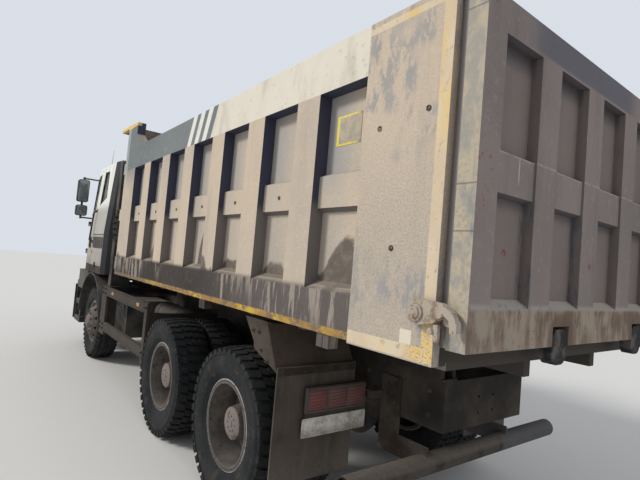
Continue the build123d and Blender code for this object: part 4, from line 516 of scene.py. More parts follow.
# Painted light: the gate's side faces take a pale beige for sunlight on them, with peeled beige and blue
# patches, orange specks, flecks and streaks of wear.
peeled = f.noise(14, 44, down=0.5, rough=0.7)
edge = f.over(
    (440, 385, 290), (330, 310, 270), peeled.above(0.5, 0.08),
    (220, 240, 250), peeled.above(0.58, 0.03) * f.z.below(2.1, 0.25) * 0.7,
    (420, 250, 130), f.noise(34, 54).above(0.68, 0.03) * 0.7,
    (300, 270, 225), flecks.above(0.57, 0.05) * f.z.below(2.2, 0.3) * 0.6,
    (200, 180, 155), f.noise(26, 57, down=0.03).above(0.56, 0.04) * 0.45,
)
strip = side.above(1.2345, 0.0004) | side.above(1.205) * facing_y.size().above(0.6, 0.1)
f.coat(edge, strip * f.x.below(-3.9))
for seam_z in (2.755, 2.05, 1.865):
    f.coat((120, 105, 90), strip * f.z.within(seam_z, seam_z + 0.006) * 0.7)
# Painted sunlight: a near-white band along the forward part of each side face.
f.coat((240, 225, 220), side.above(1.19) * f.x.within(-3.8995, -3.86, 0.0005))
bare = f.over(SCRAPED_STEEL, RUST, f.noise(3, 64, rough=0.7).above(0.53, 0.1) * 0.8)
f.coat(bare, facing_x.above(0.5, 0.2) * side.below(SIDE_Y))
relief = f.noise(2.2, 74, detail=2) * 4 + grain * 0.5 + flecks * 0.25
gate_paint = f.done(roughness=0.62 + 0.25 * grain, relief=relief, depth=0.004)

paint(gate_paint, "tailgate")

# Tailgate claws: heavy black stops bolted into the lowest beam,
# chipped and dusty.
f = Finish("claw_paint", (18, 20, 24))
f.coat((100, 88, 78), f.noise(9, 1).above(0.56, 0.08))
f.coat(RUST, f.noise(40, 2).above(0.66, 0.04) * 0.6)
claw_paint = f.done(roughness=0.5 + 0.3 * f.noise(30), relief=f.noise(60), depth=0.0015)
paint(claw_paint, "tailgate_claws")

# Lock hooks: cast hooks, rusty under pale dust, each turning on a
# pin with a washer and a cap.
f = Finish("cast_hook", (400, 345, 285))
f.coat((220, 160, 115), f.noise(14, rough=0.7).above(0.55, 0.08))
f.coat(RUST, f.noise(45, 3).above(0.63, 0.05) * 0.8)
cast_hook = f.done(roughness=0.85, relief=f.noise(90, detail=4), depth=0.0025)
paint(cast_hook, "lock_hooks")
hook_fittings = bmesh.new()
for x, z, low_y, high_y, radius, edge, sides in (
    (-3.786, 1.535, 1.285, 1.296, 0.036, 0.003, 32), (-3.786, 1.535, 1.293, 1.305, 0.024, 0.004, 32),
    (-3.919, 1.518, 1.249, 1.259, 0.022, 0.003, 24), (-3.862, 1.472, 1.262, 1.291, 0.013, 0.002, 24),
):
    rod(hook_fittings, (x, low_y, z), (x, high_y, z), radius, sides=sides, edge=edge)
block(hook_fittings, (-3.895, 1.262, 1.43), (-3.87, 1.282, 1.5), edge=0.005)
twins(hook_fittings)
fit(hook_fittings, "hook_fittings", cast_hook, "bed", "bed_paint")

# Frame, axles, springs and engine: black chassis paint that is
# almost hidden by caked brown dust.


def grimy(name, paint_colour, dust_colour, amount=0.5, rough=0.75, metallic=0.0, rust=0.0, gloss=0.15):
    """Paint or metal under patchy dust, thicker on faces that look up, with specks of rust."""
    f = Finish(name, paint_colour)
    grain = f.noise(24, 2)
    dust = f.noise(3.1, 1).above(1 - amount, 0.18) * 0.7 + f.facing()[2].above(0.3, 0.3) * 0.45
    dust = dust * (0.55 + 0.6 * grain)
    f.coat(dust_colour, dust)
    if rust:
        f.coat(RUST, f.noise(17, 3, rough=0.7).above(1 - rust, 0.05) * 0.8)
    shine = f.node("Math", {"operation": "SUBTRACT", "use_clamp": True}, {0: 1, 1: dust})
    metal = shine * metallic if metallic else 0.0
    return f.done(roughness=rough + 0.2 * dust, metallic=metal, relief=grain, depth=0.0015, gloss=gloss)


chassis_paint = grimy("chassis_paint", (30, 28, 27), (155, 130, 108), 0.58, rust=0.3)
# The frame, cab floor and spare carrier take a darker copy with darker, thinner dust: painted shade, as
# they lie under the bed and cab.
frame_paint = grimy("frame_paint", (26, 23, 21), (110, 88, 70), 0.46, rust=0.3)
paint(chassis_paint, "axles", "leaf_springs", "engine", "propeller_shafts", "knuckle_left", "knuckle_right")
paint(frame_paint, "chassis_frame", "cab_floor", "spare_carrier")

# Wheels: pressed steel rims in silver-grey paint, dulled by mud that lies thickest in the dish.
# Ten nuts hold each wheel, a flanged cap closes the hub, and the rim has a valve.
WHEEL_Z = 0.53
TWIN_Y = (0.7395, 1.0845)
FRONT_AXLE = ("front", "", 2.54, (1.011,), 1.185, 1.226)
MID_AXLE = ("mid", "s", -0.76, TWIN_Y, 0.926, 1.127)
REAR_AXLE = ("rear", "s", -2.11, TWIN_Y, 0.926, 1.127)
AXLES = (FRONT_AXLE, MID_AXLE, REAR_AXLE)
SIDES = ((1, "left"), (-1, "right"))
f = Finish("wheel_paint", (190, 168, 152))
grain = f.noise(40, 2)
cloud = f.noise(7, 3, rough=0.7)
flat = f.node("CombineXYZ", inlets={0: f.x, 2: f.z})
radius = 9
for axle in AXLES:
    ends = {0: flat, 1: (axle[2], 0, WHEEL_Z)}
    far = f.node("VectorMath", {"operation": "DISTANCE"}, ends, "Value")
    radius = far.math("MINIMUM", far, radius)
f.coat((105, 90, 78), cloud.above(0.5, 0.12))
f.coat((130, 115, 103), radius.within(0.12, 0.27, 0.03) * 0.7)
f.coat((75, 71, 68), radius.above(0.279, 0.004) * 0.85)
f.coat((360, 355, 345), radius.within(0.2985, 0.3045, 0.001) * grain.above(0.42, 0.1))
f.coat((210, 178, 165), radius.below(0.108, 0.003) * 0.8)
f.coat((50, 42, 36), f.noise(15, 5, rough=0.75).above(0.6, 0.04) * 0.8)
f.coat(RUST, f.noise(28, 6).above(0.67, 0.03) * 0.7)
wheel_paint = f.done(roughness=0.6 + 0.3 * grain, relief=cloud + 0.4 * grain, depth=0.004)
paint(wheel_paint, *[name for name in nodes if "wheel" in name and name != "steering_wheel"])
RIM_HALF = 0.119
RIM_LIP = [(-0.001, 0.272), (-0.001, 0.301), (0.003, 0.307), (0.009, 0.307), (0.012, 0.302), (0.012, 0.272)]
DRUM = [(-0.2, 0.02), (-0.2, 0.133), (-0.06, 0.13), (-0.052, 0.121), (-0.008, 0.117), (0.026, 0.11),
        (0.034, 0.098), (0.034, 0.02)]


def nut(mesh, place, out, size=0.015, length=0.02):
    """A hexagon nut on a washer with its stud's end showing, facing out."""
    place, out = Vector(place), Vector(out)
    rod(mesh, place, place + out * 0.004, size * 1.35, sides=20)
    rod(mesh, place + out * 0.004, place + out * length, size, tip=size * 0.93, sides=6)
    rod(mesh, place + out * length, place + out * (length + 0.009), size * 0.55, tip=size * 0.48, sides=12)


def spokes(count, first=0):
    """Directions evenly round a wheel."""
    turns = [math.radians(360 / count * number + first) for number in range(count)]
    return [Vector((math.cos(turn), 0, math.sin(turn))) for turn in turns]


def wheel_trim(mesh, x, rims, face_y, cap_y, hand):
    """Rolled rim lips, nuts, hub cap and a valve for a wheel on the side that hand gives."""
    out = Vector((0, hand, 0))
    for rim_y, inward in product(rims, (1, -1)):
        lip = [(hand * inward * along, radius) for along, radius in RIM_LIP]
        turned(mesh, (x, hand * (rim_y - inward * RIM_HALF), WHEEL_Z), (0, 1, 0), lip, sides=64)
    for across in spokes(10, 18):
        nut(mesh, Vector((x, hand * face_y, WHEEL_Z)) + across * 0.158, out)
    hub = Vector((x, hand * cap_y, WHEEL_Z))
    if rims == TWIN_Y:
        turned(mesh, hub, (0, 1, 0), [(hand * along, radius) for along, radius in DRUM])
        hub += out * 0.034
    for across in spokes(8):
        screw = hub - out * 0.0005 + across * 0.05
        rod(mesh, screw, screw + out * 0.007, 0.0065, tip=0.006, sides=6)
    rod(mesh, hub - out * 0.002, hub + out * 0.006, 0.024, tip=0.02, sides=32)
    stem = Vector((x + 0.235, hand * (face_y + 0.045), WHEEL_Z + 0.03))
    rod(mesh, stem, stem + out * 0.05, 0.0055, sides=10)
    rod(mesh, stem + out * 0.048, stem + out * 0.064, 0.007, tip=0.006, sides=10)


for (hand, side), (axle, many, *wheel) in product(SIDES, AXLES):
    trim = bmesh.new()
    wheel_trim(trim, *wheel, hand)
    fit(trim, f"{axle}_wheel_trim_{side}", wheel_paint, f"{axle}_wheel{many}_{side}", "wheel_paint")

# Tyres: black rubber greyed by dust, on 22.5 inch rims. The driven axles and the spare have
# slanted tread blocks, and the steered wheels have ribs between round grooves.
f = Finish("tyre_rubber", (16, 18, 20))
grain = f.noise(60, 1)
f.coat((28, 29, 30), f.noise(3.5, 2).above(0.47, 0.14))
f.coat((60, 54, 48), f.noise(9, 3, rough=0.7).above(0.6, 0.07) * 0.6)
f.coat((110, 97, 84), grain.above(0.64, 0.04) * 0.3)
tyre_rubber = f.done(roughness=0.88, relief=grain, depth=0.0012)
SIDEWALL = [
    (0.104, 0.2885), (0.107, 0.3005), (0.116, 0.305), (0.121, 0.313), (0.128, 0.322), (0.137, 0.342),
    (0.1415, 0.347), (0.1425, 0.352), (0.147, 0.368), (0.1525, 0.396), (0.1528, 0.42), (0.149, 0.446),
    (0.1505, 0.449), (0.1495, 0.456), (0.1455, 0.462), (0.144, 0.486), (0.133, 0.503),
]
BLOCK_BASE = [(0.12, 0.5105), (0.06, 0.5145)]
RIBS = [(0.1225, 0.526), (0.118, 0.5285), (0.098, 0.5285), (0.092, 0.5145), (0.082, 0.515), (0.076, 0.529),
        (0.028, 0.5296), (0.022, 0.5155), (0.012, 0.5155), (0.006, 0.5297)]
TREAD_TOP = 0.5297
BLOCKS = 42
PITCH = 2 * math.pi / BLOCKS


def tread_block(mesh, centre, axis, near, far, length, slant=0.0, drop=0.0, shift=0.0):
    """A row of tread blocks round the tyre, from near to far across it, turned by part of a pitch."""
    across = Vector(axis)
    out = across.orthogonal().normalized()
    along = across.cross(out)
    before = set(mesh.verts)
    made = bmesh.ops.create_cube(mesh, size=1)["verts"]
    for vert in made:
        place = far if vert.co.x > 0 else near
        top = vert.co.z > 0
        radius = (0.5296 - 0.0016 * abs(place) / 0.12) if top else 0.509
        if abs(place) > 0.13:
            radius = 0.5195 if top else 0.509 - drop
        spread = (length - (0.009 if top else 0)) * vert.co.y + slant * abs(place)
        angle = spread / radius + shift * PITCH
        lean = out * math.cos(angle) + along * math.sin(angle)
        vert.co = Vector(centre) + across * place + lean * radius
    ease(mesh, edges_of(made), 0.0035, steps=1)
    made = added(mesh, before)
    for vert in made:
        flat = vert.co - Vector(centre)
        flat -= across * flat.dot(across)
        if flat.length > TREAD_TOP:
            vert.co -= flat * (1 - TREAD_TOP / flat.length)
    faces = list({face for vert in made for face in vert.link_faces})
    bmesh.ops.recalc_face_normals(mesh, faces=faces)
    bmesh.ops.spin(
        mesh, geom=faces, cent=centre, axis=axis, dvec=(0, 0, 0), steps=BLOCKS - 1,
        angle=(BLOCKS - 1) * PITCH, use_duplicate=True, use_merge=False,
    )


def tyre(mesh, centre, axis, ribbed=False):
    """A tyre about its middle: the turned carcass and its tread."""
    half = SIDEWALL + (RIBS if ribbed else BLOCK_BASE)
    turned(mesh, centre, axis, half + [(-along, radius) for along, radius in reversed(half)], sides=84)
    for hand in (1, -1):
        place = (mesh, centre, axis)
        if ribbed:
            tread_block(*place, hand * 0.112, hand * 0.1455, 0.03, drop=0.022)
        else:
            tread_block(*place, hand * 0.066, hand * 0.1465, 0.056, 0.2 * hand, 0.032, 0.25 * hand)
            tread_block(*place, hand * 0.006, hand * 0.056, 0.058, 0.34 * hand, shift=0.1 + 0.4 * hand)


for (hand, side), (axle, many, x, rims, *hub) in product(SIDES, AXLES):
    rubber = bmesh.new()
    for rim_y in rims:
        tyre(rubber, (x, hand * rim_y, WHEEL_Z), (0, 1, 0), ribbed=axle == "front")
    body = f"{axle}_wheel{many}_{side}"
    fit(rubber, f"{axle}_tread_{side}", tyre_rubber, body, "tyre", f"{axle}_tyre{many}_{side}")
rubber = bmesh.new()
tyre(rubber, (1.481, 0.69, 1.96), (1, 0, 0))
fit(rubber, "spare_tread", tyre_rubber, "chassis", "tyre", "spare_tyre")

# Rear lamps: a dark box with three ribbed red lenses on each lamp arm, and under the left one a
# white number plate, left blank, that two screws hold.


def beam(mesh, low, high, radius, axis="x", steps=5, edge=0.0015):
    """A box whose long edges along one axis are rounded; its other edges are just eased."""
    before = set(mesh.verts)
    along = "xyz".index(axis)
    edges = edges_of(box(mesh, low, high))
    long_edges = [e for e in edges if abs((e.verts[0].co - e.verts[1].co).normalized()[along]) > 0.9]
    ease(mesh, long_edges, radius, steps)
    ends = {face for vert in added(mesh, before) for face in vert.link_faces if len(face.verts) > 4}
    ease(mesh, {link for face in ends for link in face.edges}, edge)


lens_red = grimy("lens_red", (190, 28, 26), (125, 85, 78), 0.62, rough=0.3, gloss=0.5)
lamp_box = grimy("lamp_box", (35, 33, 32), (150, 125, 108), 0.75, rough=0.6)
BEZEL = (-2.814, -2.804)
housings, lenses = bmesh.new(), bmesh.new()
block(housings, (-2.806, 0.57, 0.792), (-2.7825, 1.046, 0.945), edge=0.007, steps=3)
for low_y, high_y in ((0.575, 0.583), (0.724, 0.734), (0.88, 0.89), (1.032, 1.04)):
    block(housings, (BEZEL[0], low_y, 0.797), (BEZEL[1], high_y, 0.94), edge=0.002)
for low_z in (0.796, 0.93):
    block(housings, (BEZEL[0], 0.575, low_z), (BEZEL[1], 1.04, low_z + 0.011), edge=0.002)
for low_y, high_y in ((0.585, 0.722), (0.736, 0.878), (0.892, 1.03)):
    block(lenses, (-2.812, low_y, 0.809), (BEZEL[1], high_y, 0.928))
    for ridge_z in spaced(0.82, 0.0194, 6):
        rod(lenses, (-2.81, low_y + 0.004, ridge_z), (-2.81, high_y - 0.004, ridge_z), 0.0045, sides=10)
twins(housings)
twins(lenses)
fit(housings, "rear_lamp_boxes", lamp_box, "chassis", "dark_plastic", "lamps")
fit(lenses, "rear_lamp_lenses", lens_red, "chassis", "lamp_lens")

f = Finish("plate_white", (660, 630, 570))
f.coat((300, 260, 215), f.noise(16, rough=0.7).above(0.54, 0.09) * 0.7)
f.coat((160, 140, 120), f.z.below(0.68, 0.03) * 0.5)
plate_white = f.done(roughness=0.5, gloss=0.4)
number_plate = bmesh.new()
beam(number_plate, (-2.7865, 0.537, 0.642), (-2.7825, 1.053, 0.757), 0.012, edge=0.0008)
for low, high in (
    ((0.545, 0.65), (1.045, 0.655)), ((0.545, 0.744), (1.045, 0.749)),
    ((0.545, 0.65), (0.55, 0.749)), ((1.04, 0.65), (1.045, 0.749)),
):
    block(number_plate, (-2.7877, *low), (-2.7855, *high), edge=0.0006)
for screw_y in (0.64, 0.95):
    rod(number_plate, (-2.786, screw_y, 0.7), (-2.79, screw_y, 0.7), 0.008, tip=0.006, sides=16)
fit(number_plate, "number_plate", plate_white, "chassis", "cab_paint")

# Headlamps: clear covers that follow the bumper's corner, over two bright bowls and an amber
# indicator in a black box.
dark_plastic = grimy("dark_plastic", (28, 29, 31), (165, 145, 125), 0.5, rough=0.5)
lens_amber = grimy("lens_amber", (550, 190, 20), (250, 170, 100), 0.45, rough=0.2, gloss=0.5)
f = Finish("bowl_chrome", (800, 800, 800))
bowl_chrome = f.done(roughness=0.08 + 0.1 * f.noise(20), metallic=1.0)
f = Finish("lamp_cover", (750, 770, 780))
cover_dust = f.noise(12).above(0.5, 0.15)
f.coat((350, 310, 270), cover_dust)
lamp_cover = f.done(roughness=0.08 + 0.3 * cover_dust, alpha=0.22 + 0.3 * cover_dust, gloss=0.5)
LAMP_CURVE = [(3.986, 0.744), (3.986, 0.8), (3.9465, 1.028), (3.9275, 1.056)]
BOWL = [(0.0, 0.012), (0.012, 0.035), (0.03, 0.055), (0.06, 0.068), (0.075, 0.072), (0.078, 0.076),
        (0.055, 0.073), (0.025, 0.06), (-0.005, 0.03), (-0.008, 0.01)]
covers, bowls, backs, indicators = [bmesh.new() for number in range(4)]
outline = LAMP_CURVE + [(x - 0.005, y) for x, y in reversed(LAMP_CURVE)]
cover_face = covers.faces.new([covers.verts.new((x, y, 0.694)) for x, y in outline])
lifted = bmesh.ops.extrude_face_region(covers, geom=[cover_face])["geom"]
lifted = [part for part in lifted if isinstance(part, bmesh.types.BMVert)]
bmesh.ops.translate(covers, vec=(0, 0, 0.182), verts=lifted)
for y, x in ((0.828, 3.885), (0.962, 3.846)):
    turned(bowls, (x, y, 0.785), (1, 0, 0), BOWL, sides=40)
    rod(bowls, (x, y, 0.785), (x + 0.035, y, 0.785), 0.012, tip=0.009, sides=20, edge=0.003)
block(backs, (3.845, 0.742, 0.692), (3.862, 1.058, 0.878), edge=0.002)
block(indicators, (3.86, 1.034, 0.7), (3.915, 1.052, 0.87), edge=0.004)
for mesh, name, material, slot in (
    (covers, "headlamp_covers", lamp_cover, "lamp_lens"),
    (bowls, "headlamp_bowls", bowl_chrome, "lamp_lens"),
    (backs, "headlamp_backs", dark_plastic, "dark_plastic"),
    (indicators, "indicator_lenses", lens_amber, "lamp_lens"),
):
    twins(mesh)
    fit(mesh, name, material, "chassis", slot)

# Bumper, grille, fenders and steps: moulded dark plastic with ribbed tread plates let into the
# steps, and bars in the bumper's air slot.


def row(mesh, axis, places, low, high, edge=0.003, steps=2):
    """Like blocks at places along an axis; low and high are corners of the one at zero."""
    move = Vector([axis == letter for letter in "xyz"])
    for place in places:
        block(mesh, Vector(low) + move * place, Vector(high) + move * place, edge, steps)


paint(dark_plastic, "front_bumper", "grille", "steps_and_fenders", "mirrors", "air_intake", "sun_visor")
treads = bmesh.new()
for z in (0.47, 0.745):
    block(treads, (3.324, 1.014, z - 0.001), (3.656, 1.188, z + 0.004), edge=0.001)
    row(treads, "x", spaced(3.34, 0.03, 11), (-0.004, 1.02, z + 0.003), (0.004, 1.182, z + 0.009), 0.0015)
    row(treads, "y", spaced(1.05, 0.05, 3), (3.33, -0.003, z + 0.003), (3.65, 0.003, z + 0.006), 0.001)
twins(treads)
zinc = grimy("zinc", (330, 335, 335), (150, 130, 110), 0.58, rough=0.45, metallic=0.55, rust=0.3)
fit(treads, "step_treads", zinc, "chassis", "dark_plastic")
slot_bars = bmesh.new()
row(slot_bars, "y", spaced(-0.4, 0.04, 21), (3.94, -0.004, 0.522), (3.96, 0.004, 0.638), 0.0015)
row(slot_bars, "z", spaced(0.55, 0.03, 3), (3.944, -0.418, -0.003), (3.956, 0.418, 0.003), 0.001)
fit(slot_bars, "bumper_slot_bars", dark_plastic, "chassis", "dark_plastic")

# Cab shell: white enamel, dull with road film that thickens downwards, darkened further by painted shade
# towards the bottom and a painted shadow below the belt; its lower skirts are browned by mud, and the back
# and rear corners carry dark painted shade.
f = Finish("cab_paint", (840, 860, 800))
cloud = f.noise(2.2, 1)
grain = f.noise(34, 2)
low = f.node("MapRange", inlets={"Value": f.z + 0.5 * cloud, "From Min": 2.75, "From Max": 1.55})
f.coat((740, 750, 700), cloud.above(0.5, 0.14))
# Road film and painted shade together: darker towards the bottom, patchy with the grain.
f.coat((420, 395, 360), low * (0.35 + 0.5 * grain))
# Painted shadow: all below 2.24 m is darkened, the edge of a cast shadow along the side.
f.coat((300, 285, 260), f.z.below(2.24, 0.08) * 0.72)
f.coat((420, 380, 330), f.noise(9, 3, down=0.1).above(0.6, 0.08) * 0.55)
f.coat((130, 105, 85), f.z.below(1.5, 0.25) * cloud.above(0.44, 0.12) * 0.7)
# Painted shade: faces turned rearwards, the back wall and the rear corners, are near black-blue.
f.coat((35, 34, 42), f.facing()[0].below(-0.45, 0.12) * 0.92)
relief = grain * 0.4 + 0.3 * f.noise(20, 4)
cab_paint = f.done(roughness=0.38 + 0.35 * low + 0.1 * grain, relief=relief, depth=0.0008, gloss=0.35)
paint(cab_paint, "cab_back", "cab_sides", "cab_roof", "cab_front", "door_left", "door_right")

# Window rubbers: black beads round the glass of the doors, the rear
# quarters and the back.
BELT_LINE = [(1.93, 1.18), (1.975, 1.236), (2.9, 1.24), (3.3, 1.172), (3.69, 1.096), (3.84, 1.04)]
ROOF_LINE = [(1.93, 1.1), (1.975, 1.15), (2.9, 1.154), (3.3, 1.088), (3.54, 1.03), (3.61, 0.975)]


def along_line(line, x):
    """The half width that a plan outline has at a length."""
    for (near_x, near_y), (far_x, far_y) in zip(line, line[1:]):
        if x <= far_x:
            return near_y + (far_y - near_y) * (x - near_x) / (far_x - near_x)


def rise_of(z):
    """0 at the cab's belt line and 1 at its roof."""
    return min(max((z - 1.85) / 1.21, 0), 1)


def side_spot(x, z, proud=0.0, hand=1):
    """A place on the cab's side, or proud of it."""
    rise = rise_of(z)
    y = along_line(BELT_LINE, x) * (1 - rise) + along_line(ROOF_LINE, x) * rise + proud
    return Vector((x, hand * y, z))


def trim_loop(mesh, corners, radius, closed=True):
    """A rubber or metal bead through a row of places, with rounded joints."""
    for start, end in zip(corners, corners[1:] + corners[:closed]):
        rod(mesh, start, end, radius, sides=10)
    for corner in corners:
        ball = bmesh.ops.create_uvsphere(mesh, u_segments=10, v_segments=6, radius=radius)["verts"]
        bmesh.ops.translate(mesh, vec=corner, verts=ball)


DOOR_GLASS = [(2.765, 2.215), (3.525, 2.185), (3.53, 2.26), (3.385, 2.76), (2.765, 2.77)]
QUARTER_GLASS = [(2.521, 2.289), (2.505, 2.78), (2.289, 2.77), (2.2, 2.382)]
REAR_GLASS = [(1.929, -0.45, 2.28), (1.929, 0.45, 2.28), (1.929, 0.45, 2.64), (1.929, -0.45, 2.64)]
f = Finish("window_rubber", (20, 20, 21))
f.coat((120, 105, 90), f.noise(12).above(0.52, 0.12))
window_rubber = f.done(roughness=0.75)

for hand, side in SIDES:
    rubber = bmesh.new()
    trim_loop(rubber, [side_spot(x, z, -0.004, hand) for x, z in DOOR_GLASS], 0.01)
    belt = [side_spot(x, z, 0.002, hand) for x, z in ((2.755, 2.205), (3.535, 2.175))]
    trim_loop(rubber, belt, 0.012, closed=False)
    fit(rubber, f"door_window_rubber_{side}", window_rubber, f"door_{side}", "dark_plastic")
rubber = bmesh.new()
trim_loop(rubber, [side_spot(x, z, -0.004) for x, z in QUARTER_GLASS], 0.01)
twins(rubber)
trim_loop(rubber, REAR_GLASS, 0.011)
fit(rubber, "cab_window_rubbers", window_rubber, "cab", "dark_plastic")

# Windscreen rubber: the bead that holds the screen, bent with the
# cab's plan.
FRONT_PLAN = [(3.69, 1.096), (3.84, 1.04), (3.91, 0.93), (3.93, 0.64), (3.93, 0.0)]
ROOF_PLAN = [(3.54, 1.03), (3.61, 0.975), (3.66, 0.87), (3.685, 0.6), (3.685, 0.0)]


def front_spot(y, z, proud=0.0):
    """A place on the cab's front, or proud of it."""
    rise = rise_of(z)
    places = [(a * (1 - rise) + c * rise, b * (1 - rise) + d * rise)
              for (a, b), (c, d) in zip(FRONT_PLAN, ROOF_PLAN)]
    for (near_x, near_y), (far_x, far_y) in zip(places, places[1:]):
        if abs(y) >= far_y:
            share = (abs(y) - far_y) / (near_y - far_y)
            return Vector((far_x + (near_x - far_x) * share + proud, y, z))


screen_edge = [(y, 2.19) for y in spaced(-0.96, 0.16, 13)]
screen_edge += [(y, 2.79) for y in spaced(0.89, -0.89 / 6, 13)]
rubber = bmesh.new()
trim_loop(rubber, [front_spot(y, z, -0.004) for y, z in screen_edge], 0.012)
fit(rubber, "screen_rubber", window_rubber, "cab", "dark_plastic")

# Glass: laminated, faintly green, dusty towards its lower
# edge.
f = Finish("cab_glass", (220, 260, 260))
film = f.noise(7).above(0.5, 0.2) * 0.5 + f.z.below(2.3, 0.12) * 0.35
f.coat((340, 330, 290), film)
cab_glass = f.done(roughness=0.04 + 0.3 * film, alpha=0.5 + 0.3 * film, gloss=0.5)
paint(cab_glass, "cab_glass", "door_glass_left", "door_glass_right")

# Door handles: each is a pull in a black dish with a lock beside
# it.
for hand, side in SIDES:
    handle = bmesh.new()
    dish_y = side_spot(2.76, 1.7).y
    beam(handle, (2.712, dish_y - 0.004, 1.62), (2.822, dish_y + 0.003, 1.795), 0.018, axis="y", edge=0.001)
    block(handle, (2.728, dish_y + 0.012, 1.64), (2.752, dish_y + 0.026, 1.775), edge=0.006, steps=3)
    row(handle, "z", (1.648, 1.75), (2.73, dish_y, 0), (2.75, dish_y + 0.016, 0.018))
    rod(handle, (2.79, dish_y, 1.66), (2.79, dish_y + 0.007, 1.66), 0.011, edge=0.0015)
    bmesh.ops.scale(handle, vec=(1, hand, 1), verts=handle.verts)
    fit(handle, f"door_handle_{side}", dark_plastic, f"door_{side}", "dark_plastic")

# Cab fittings: grab rails behind the doors, a locker lid and a reflector on each rear quarter, wipers,
# marker lamps and a hatch on the roof, and a whip aerial.
rails = bmesh.new()
RAIL_X, RAIL_LOW, RAIL_HIGH = 2.645, 1.72, 2.2
trim_loop(rails, [
    side_spot(RAIL_X, RAIL_LOW, -0.01), side_spot(RAIL_X, RAIL_LOW, 0.045) + Vector((0, 0, 0.03)),
    side_spot(RAIL_X, RAIL_HIGH, 0.045) - Vector((0, 0, 0.03)), side_spot(RAIL_X, RAIL_HIGH, -0.01),
], 0.013, closed=False)
for rail_z in (RAIL_LOW, RAIL_HIGH):
    rod(rails, side_spot(RAIL_X, rail_z, -0.005), side_spot(RAIL_X, rail_z, 0.006), 0.024, edge=0.002)
beam(rails, (1.99, 1.226, 1.632), (2.6, 1.244, 1.8), 0.03, axis="y", edge=0.004)
block(rails, (1.99, 1.232, 1.826), (2.62, 1.243, 1.838), edge=0.004)
rod(rails, side_spot(2.342, 1.395, -0.005), side_spot(2.342, 1.395, 0.014), 0.032, edge=0.005, sides=32)
twins(rails)
for arm_y, half in ((-0.52, 0.22), (0.1, 0.27), (0.55, 0.22)):
    foot = front_spot(0, 2.1, -0.012) + Vector((0, arm_y - 0.26, 0))
    rod(rails, foot, foot + Vector((0.03, 0, 0)), 0.018, edge=0.003)
    blade = front_spot(0, 2.235, 0.014) + Vector((0, arm_y, 0.004))
    elbow = blade + Vector((0.008, 0, -0.004))
    rod(rails, foot + Vector((0.022, 0, 0)), elbow, 0.009, tip=0.006, sides=12)
    rod(rails, blade - Vector((0, half, 0)), blade + Vector((0, half, 0)), 0.007, sides=10)
block(rails, (2.55, -0.36, 2.93), (3.2, 0.36, 3.034), edge=0.02, steps=4)
fit(rails, "cab_fittings", dark_plastic, "cab", "dark_plastic")
amber = bmesh.new()
for x, y in ((2.3, 1.0), (3.43, 0.9)):
    roof_z = 2.93 + 0.1 * (x - 1.99) / 1.6
    low, high = (x - 0.035, y - 0.02, roof_z - 0.035), (x + 0.035, y + 0.02, roof_z + 0.03)
    block(amber, low, high, edge=0.01, steps=3)
lens_y = side_spot(2.63, 1.575).y
block(amber, (2.59, lens_y - 0.004, 1.55), (2.668, lens_y + 0.009, 1.6), edge=0.004)
twins(amber)
fit(amber, "cab_marker_lenses", lens_amber, "cab", "lamp_lens")
aerial = bmesh.new()
rod(aerial, (3.02, 1.0, 2.95), (3.012, 1.003, 2.99), 0.016, tip=0.009, sides=16, edge=0.002)
rod(aerial, (3.012, 1.003, 2.985), (2.915, 1.01, 3.222), 0.0028, tip=0.0016, sides=8)
fit(aerial, "aerial", dark_plastic, "cab", "dark_plastic")

# Mirrors: silvered glass behind the rear rim of each moulded
# head.
f = Finish("mirror_glass", (160, 190, 210))
mirror_dust = f.noise(5, 2).above(0.5, 0.2)
f.coat((260, 270, 270), mirror_dust)
mirror_glass = f.done(roughness=0.12 + 0.1 * mirror_dust, metallic=0.6)
mirror_faces = bmesh.new()
for low_z, high_z in ((2.397, 2.753), (2.161, 2.319)):
    beam(mirror_faces, (3.6375, 1.192, low_z), (3.6405, 1.343, high_z), 0.026, edge=0.0008)
twins(mirror_faces)
fit(mirror_faces, "mirror_faces", mirror_glass, "cab", "glass")

# Rear mudguards: rubber flaps, greyed by dust, hang below sheet steel guards; a steel strip and
# bolts clamp each flap's upper edge.
OUT, BACK = Vector((0, 1, 0)), Vector((-1, 0, 0))


def nuts(mesh, xs, ys, zs, out, size, length):
    """Nuts wherever the given lengths, widths and heights cross."""
    for x, y, z in product(xs, ys, zs):
        nut(mesh, (x, y, z), out, size, length)


f = Finish("flap_rubber", (52, 44, 38))
cloud = f.noise(3.5, 1)
grain = f.noise(40, 2)
f.coat((85, 70, 58), cloud.above(0.5, 0.14))
f.coat((125, 104, 85), f.noise(9, 3, down=0.15).above(0.56, 0.08) * 0.55)
f.coat((140, 120, 100), f.z.below(0.52, 0.12) * grain * 0.9)
flap_rubber = f.done(roughness=0.85, relief=cloud * 3 + grain * 0.4, depth=0.004)
paint(flap_rubber, "mudflaps")
guard_paint = grimy("guard_paint", (28, 23, 20), (105, 83, 66), 0.5, rust=0.34)
paint(guard_paint, "mudguards")
strips = bmesh.new()
block(strips, (-2.7665, 0.64, 1.02), (-2.7625, 1.232, 1.062), edge=0.001)
nuts(strips, (-2.7665,), spaced(0.69, 0.123, 5), (1.041,), BACK, 0.01, 0.011)
for x, z in ((-2.56, 1.135), (-2.45, 1.24), (-2.52, 1.24), (-2.64, 1.08)):
    nut(strips, (x, 1.24, z), OUT, 0.01, 0.01)
twins(strips)
fit(strips, "flap_strips", guard_paint, "chassis", "chassis_paint")

